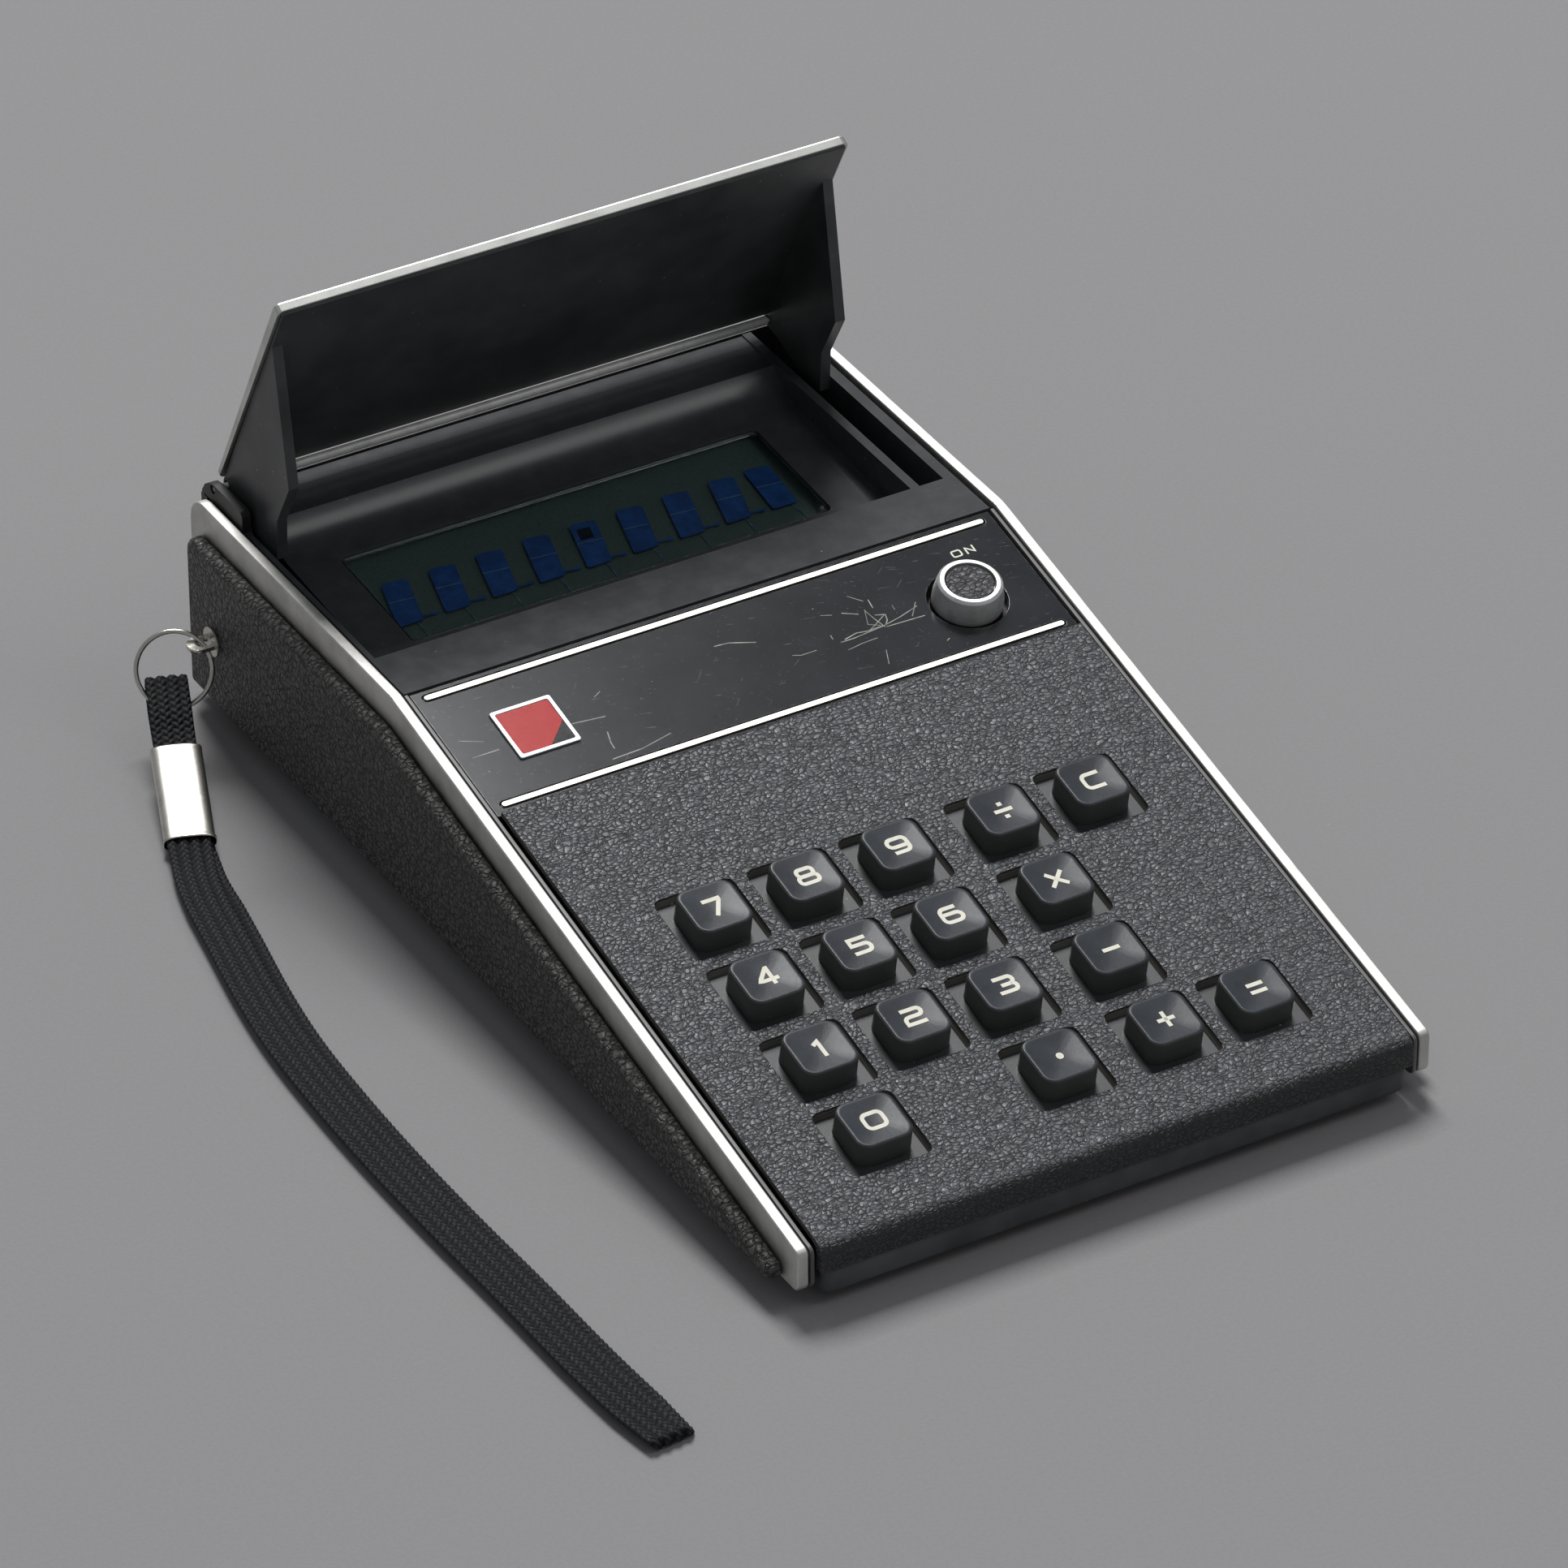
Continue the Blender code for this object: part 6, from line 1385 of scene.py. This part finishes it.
def make_badge():
    """Plain silver-framed badge with a red field and a dark corner."""

    def place(x, y, h):
        return on_keypad(BADGE_X + x, BADGE_S + y, PLATE_SURFACE + h)

    stations = (
        (BADGE_HALF, 0.02),
        (BADGE_HALF, 0.28),
        (BADGE_HALF - 0.12, 0.38),
        (BADGE_HALF - 0.6, 0.38),
        (BADGE_HALF - 0.7, 0.3),
        (BADGE_HALF - 0.7, 0.02),
    )
    points = [place(x, y, h) for half, h in stations for x, y in rounded_square(half, half, 0.35, 4)]
    frame_mesh = mesh_of(points, ring_faces(len(stations), 16, closed_loop=True))
    new_piece("badge_frame", frame_mesh, BADGE_METAL, "body", False)
    inner = BADGE_HALF - 0.72
    split = inner * 0.1
    upper = [(-inner, -inner), (split - 0.04, -inner), (inner, -split + 0.04), (inner, inner),
             (-inner, inner)]
    lower = [(split + 0.04, -inner), (inner, -inner), (inner, -split - 0.04)]
    new_piece("badge_field", prism(upper, place, 0.02, 0.26), ENAMEL_RED, "body", False)
    new_piece("badge_corner", prism(lower, place, 0.02, 0.26), ENAMEL_DARK, "body", False)


LID_ALONG = Vector((0.0, -0.4555, 0.8902))
LID_OUTWARD = Vector((0.0, 0.8902, 0.4555))
LID_HINGE = Vector((0.0, 86.1, 36.3))
LID_SKIN_HALF = 47.7
LID_SKIN_ENDS = (0.1, 45.45)
LID_SKIN_OUTER = 2.3
LID_SKIN_INNER = 1.43
LID_RIM_WALL = 0.6
LID_RIM_TOP = 0.75
LID_RIM_SIDE = 1.0


def make_lid_skin():
    """Bright outer plate of the lid, folded over the dark body along its top and side edges."""
    middle = sum(LID_SKIN_ENDS) / 2
    half_along = (LID_SKIN_ENDS[1] - LID_SKIN_ENDS[0]) / 2

    def place(x, along, out):
        return (LID_HINGE + Vector((x, 0, 0)) + LID_ALONG * (middle + along) + LID_OUTWARD * out) * MM

    def rim(along):
        if along > half_along - 1.2:
            return LID_RIM_TOP
        return LID_SKIN_INNER if along < -half_along + 1.5 else LID_RIM_SIDE

    rings = []
    for inset, out in ((0.9, LID_SKIN_OUTER), (0.28, LID_SKIN_OUTER), (0.08, LID_SKIN_OUTER - 0.08),
                       (0.0, LID_SKIN_OUTER - 0.3), (0.0, None), (0.06, None), (LID_RIM_WALL, None),
                       (LID_RIM_WALL, LID_SKIN_INNER)):
        ring = []
        for x, along in rounded_square(LID_SKIN_HALF - inset, half_along - inset, 1.1 - min(inset, 0.9), 5):
            level = rim(along + (inset if along > 0 else -inset)) if out is None else out
            if out is None and inset == 0.0:
                level += 0.1
            ring.append(place(x, along, level))
        rings.append(ring)
    points = [point for ring in rings for point in ring]
    mesh = turned_outward(mesh_of(points, ring_faces(len(rings), len(rings[0]))))
    skin = new_piece("lid_skin", mesh, LID_METAL, "lid", smooth=False)
    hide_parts("lid_plate")


SCRATCH_STROKES = (
    ((6.6, -15.3), (7.8, -15.8), (10.4, -15.8)),
    ((14.5, -15.8), (16.7, -15.8), (18.7, -15.6), (21.9, -15.3), (25.2, -14.6), (28.6, -13.6)),
    ((15.3, -15.5), (17.5, -15.0), (19.3, -15.3), (22.1, -15.2)),
    ((14.7, -17.6), (17.4, -17.2), (19.9, -17.1)),
    ((22.3, -15.6), (25.4, -15.7), (28.7, -15.8)),
    ((21.1, -11.2), (20.0, -14.1), (21.6, -15.0)),
    ((21.0, -11.3), (21.5, -13.6), (22.1, -15.6)),
    ((21.9, -12.8), (23.4, -13.3), (23.1, -14.4), (22.5, -15.1)),
    ((23.2, -13.3), (20.8, -14.7), (19.4, -15.4)),
    ((22.6, -9.6), (22.4, -11.4)),
    ((25.3, -12.0), (25.2, -13.0)),
    ((28.8, -12.8), (26.9, -15.2)),
    ((17.6, -10.5), (19.8, -11.7)),
    ((14.5, -9.7), (16.1, -10.3)),
    ((13.8, -13.9), (13.7, -14.8)),
    ((19.8, -19.8), (18.7, -22.5)),
    ((29.0, -21.7), (29.6, -21.4)),
    ((-3.0, -9.1), (-0.7, -9.3), (3.1, -10.8)),
    ((20.1, -7.7), (21.8, -9.6)),
    ((-27.8, -23.5), (-22.8, -23.3), (-17.5, -22.2)),
    ((-46.5, -11.3), (-43.1, -12.9)),
    ((-46.1, -15.2), (-41.8, -15.2)),
    ((-25.8, -18.3), (-26.4, -20.4), (-26.5, -21.7)),
    ((-24.1, -11.3), (-22.8, -10.6)),
    ((-29.7, -14.8), (-24.5, -15.4)),
    ((-45.3, -18.4), (-45.2, -18.8)),
)
SCRATCH_WIDTH = 0.13


def make_plate_scratches():
    """Worn marks in the plate's black skin where the metal shows."""

    def surface(x, y, rise):
        return on_keypad(x, y, PLATE_SURFACE + rise)

    strokes = []
    for number, path in enumerate(SCRATCH_STROKES):
        strokes.append((list(path), False, SCRATCH_WIDTH * (0.7 + 0.6 * ((number * 7) % 5) / 4)))
    mesh = ribbons(strokes, surface, 0.006, 0.012)
    new_piece("plate_scratches", mesh, SCRATCH_PALE, "body", smooth=False)


ON_MARK_X = 40.75
ON_MARK_S = -6.35
ON_MARK_STROKE = 0.27


def make_on_mark():
    """The word ON, printed on the plate behind the button."""

    def surface(x, y, rise):
        return on_keypad(ON_MARK_X + x, ON_MARK_S + y, PLATE_SURFACE + rise)

    strokes = [(path, closed, ON_MARK_STROKE) for path, closed, _ in legend_strokes("on")]
    new_piece("on_mark", ribbons(strokes, surface, 0.02, 0.03), LEGEND_CREAM, "body", False)


RIDGE_COUNT = 6
RIDGE_FIRST = 9.0
RIDGE_PITCH = 1.6
RIDGE_HALF = 9.0
RIDGE_HALF_WIDTH = 0.4
RIDGE_CORNER = 0.38
RIDGE_RISE = 0.32
RIDGE_EDGE = 0.12


def make_door_grip():
    """Finger ridges across the battery door's underside."""
    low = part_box("battery_door")[0] / MM
    outline = rounded_square(RIDGE_HALF, RIDGE_HALF_WIDTH, RIDGE_CORNER, 4)
    ridges = []
    for i in range(RIDGE_COUNT):
        y = low.y + RIDGE_FIRST + RIDGE_PITCH * i

        def place(x, py, h, y=y):
            return Vector((x, y + py, low.z - h)) * MM

        ridges.append(prism(outline, place, -0.1, RIDGE_RISE, RIDGE_EDGE))
    mesh = turned_outward(joined(ridges))
    new_piece("door_grip", mesh, CASE_PLASTIC, "battery_hatch")


# Studio

CAMERA_TARGET = Vector((2.184, 7.1, 12.676)) * MM
CAMERA_BACK = Vector((-0.4148, -0.7129, 0.5655))
CAMERA_DISTANCE = 1.4343
CAMERA_LENS = 226.57
CAMERA_SENSOR = 36.0
CAMERA_REACH = (0.05, 20.0)
FLOOR_HALF = 6.0
SKY_COLOUR = (0.80, 0.82, 0.86, 1.0)
SKY_STRENGTH = 0.27
LAMP_TARGET = Vector((0, 0, 0.02))

# Each lamp's direction from the object, distance and size in metres, and power in watts
OVERHEAD_BOX = ((0.25, 0.675, 1.0), 5.55, (1.62, 2.6), 300.0)
FRONT_CARD = ((0.41, -0.40, 0.80), 1.3, (0.3, 0.7), 1.5)


def aimed(place, target):
    """Place of a camera or lamp that looks from a place at a target."""
    back = (place - target).normalized()
    right = Vector((0, 0, 1)).cross(back).normalized()
    up = back.cross(right)
    turn = Matrix((right, up, back)).transposed().to_4x4()
    return Matrix.Translation(place) @ turn


def make_camera():
    """Camera at the photograph's angle, fitted to the keys and rails."""
    lens = bpy.data.cameras.new("camera")
    lens.lens = CAMERA_LENS
    lens.sensor_width = CAMERA_SENSOR
    lens.clip_start, lens.clip_end = CAMERA_REACH
    camera = bpy.data.objects.new("camera", lens)
    bpy.context.scene.collection.objects.link(camera)
    camera.matrix_world = aimed(CAMERA_TARGET + CAMERA_BACK.normalized() * CAMERA_DISTANCE, CAMERA_TARGET)
    bpy.context.scene.camera = camera


def lamp(name, direction, distance, size, power):
    """Soft rectangular lamp that looks at the object."""
    light = bpy.data.lights.new(name, "AREA")
    light.shape = "RECTANGLE"
    light.size, light.size_y = size
    light.energy = power
    thing = bpy.data.objects.new(name, light)
    bpy.context.scene.collection.objects.link(thing)
    place = LAMP_TARGET + Vector(direction).normalized() * distance
    thing.matrix_world = aimed(place, LAMP_TARGET)
    return thing


def make_studio():
    """Plain paper floor, a pale sky, a level softbox above and behind, and a small card in front."""
    points = [(x * FLOOR_HALF, y * FLOOR_HALF, 0) for x, y in ((-1, -1), (1, -1), (1, 1), (-1, 1))]
    mesh = mesh_of(points, [(0, 1, 2, 3)])
    ground = bpy.data.objects.new("studio_floor", mesh)
    bpy.context.scene.collection.objects.link(ground)
    mesh.materials.append(PAPER)
    world = bpy.data.worlds.new("studio")
    world.use_nodes = True
    sky = world.node_tree.nodes["Background"]
    sky.inputs["Color"].default_value = SKY_COLOUR
    sky.inputs["Strength"].default_value = SKY_STRENGTH
    bpy.context.scene.world = world
    softbox = lamp("overhead_box", *OVERHEAD_BOX)
    softbox.matrix_world = Matrix.Translation(softbox.matrix_world.translation)
    lamp("front_card", *FRONT_CARD)
    bpy.context.scene.view_settings.view_transform = "Standard"


make_camera()
make_strap()
dress_model()
make_keys()
make_recess_fillets()
make_display()
make_badge()
make_on_mark()
make_lid_skin()
make_plate_scratches()
make_door_grip()
make_studio()
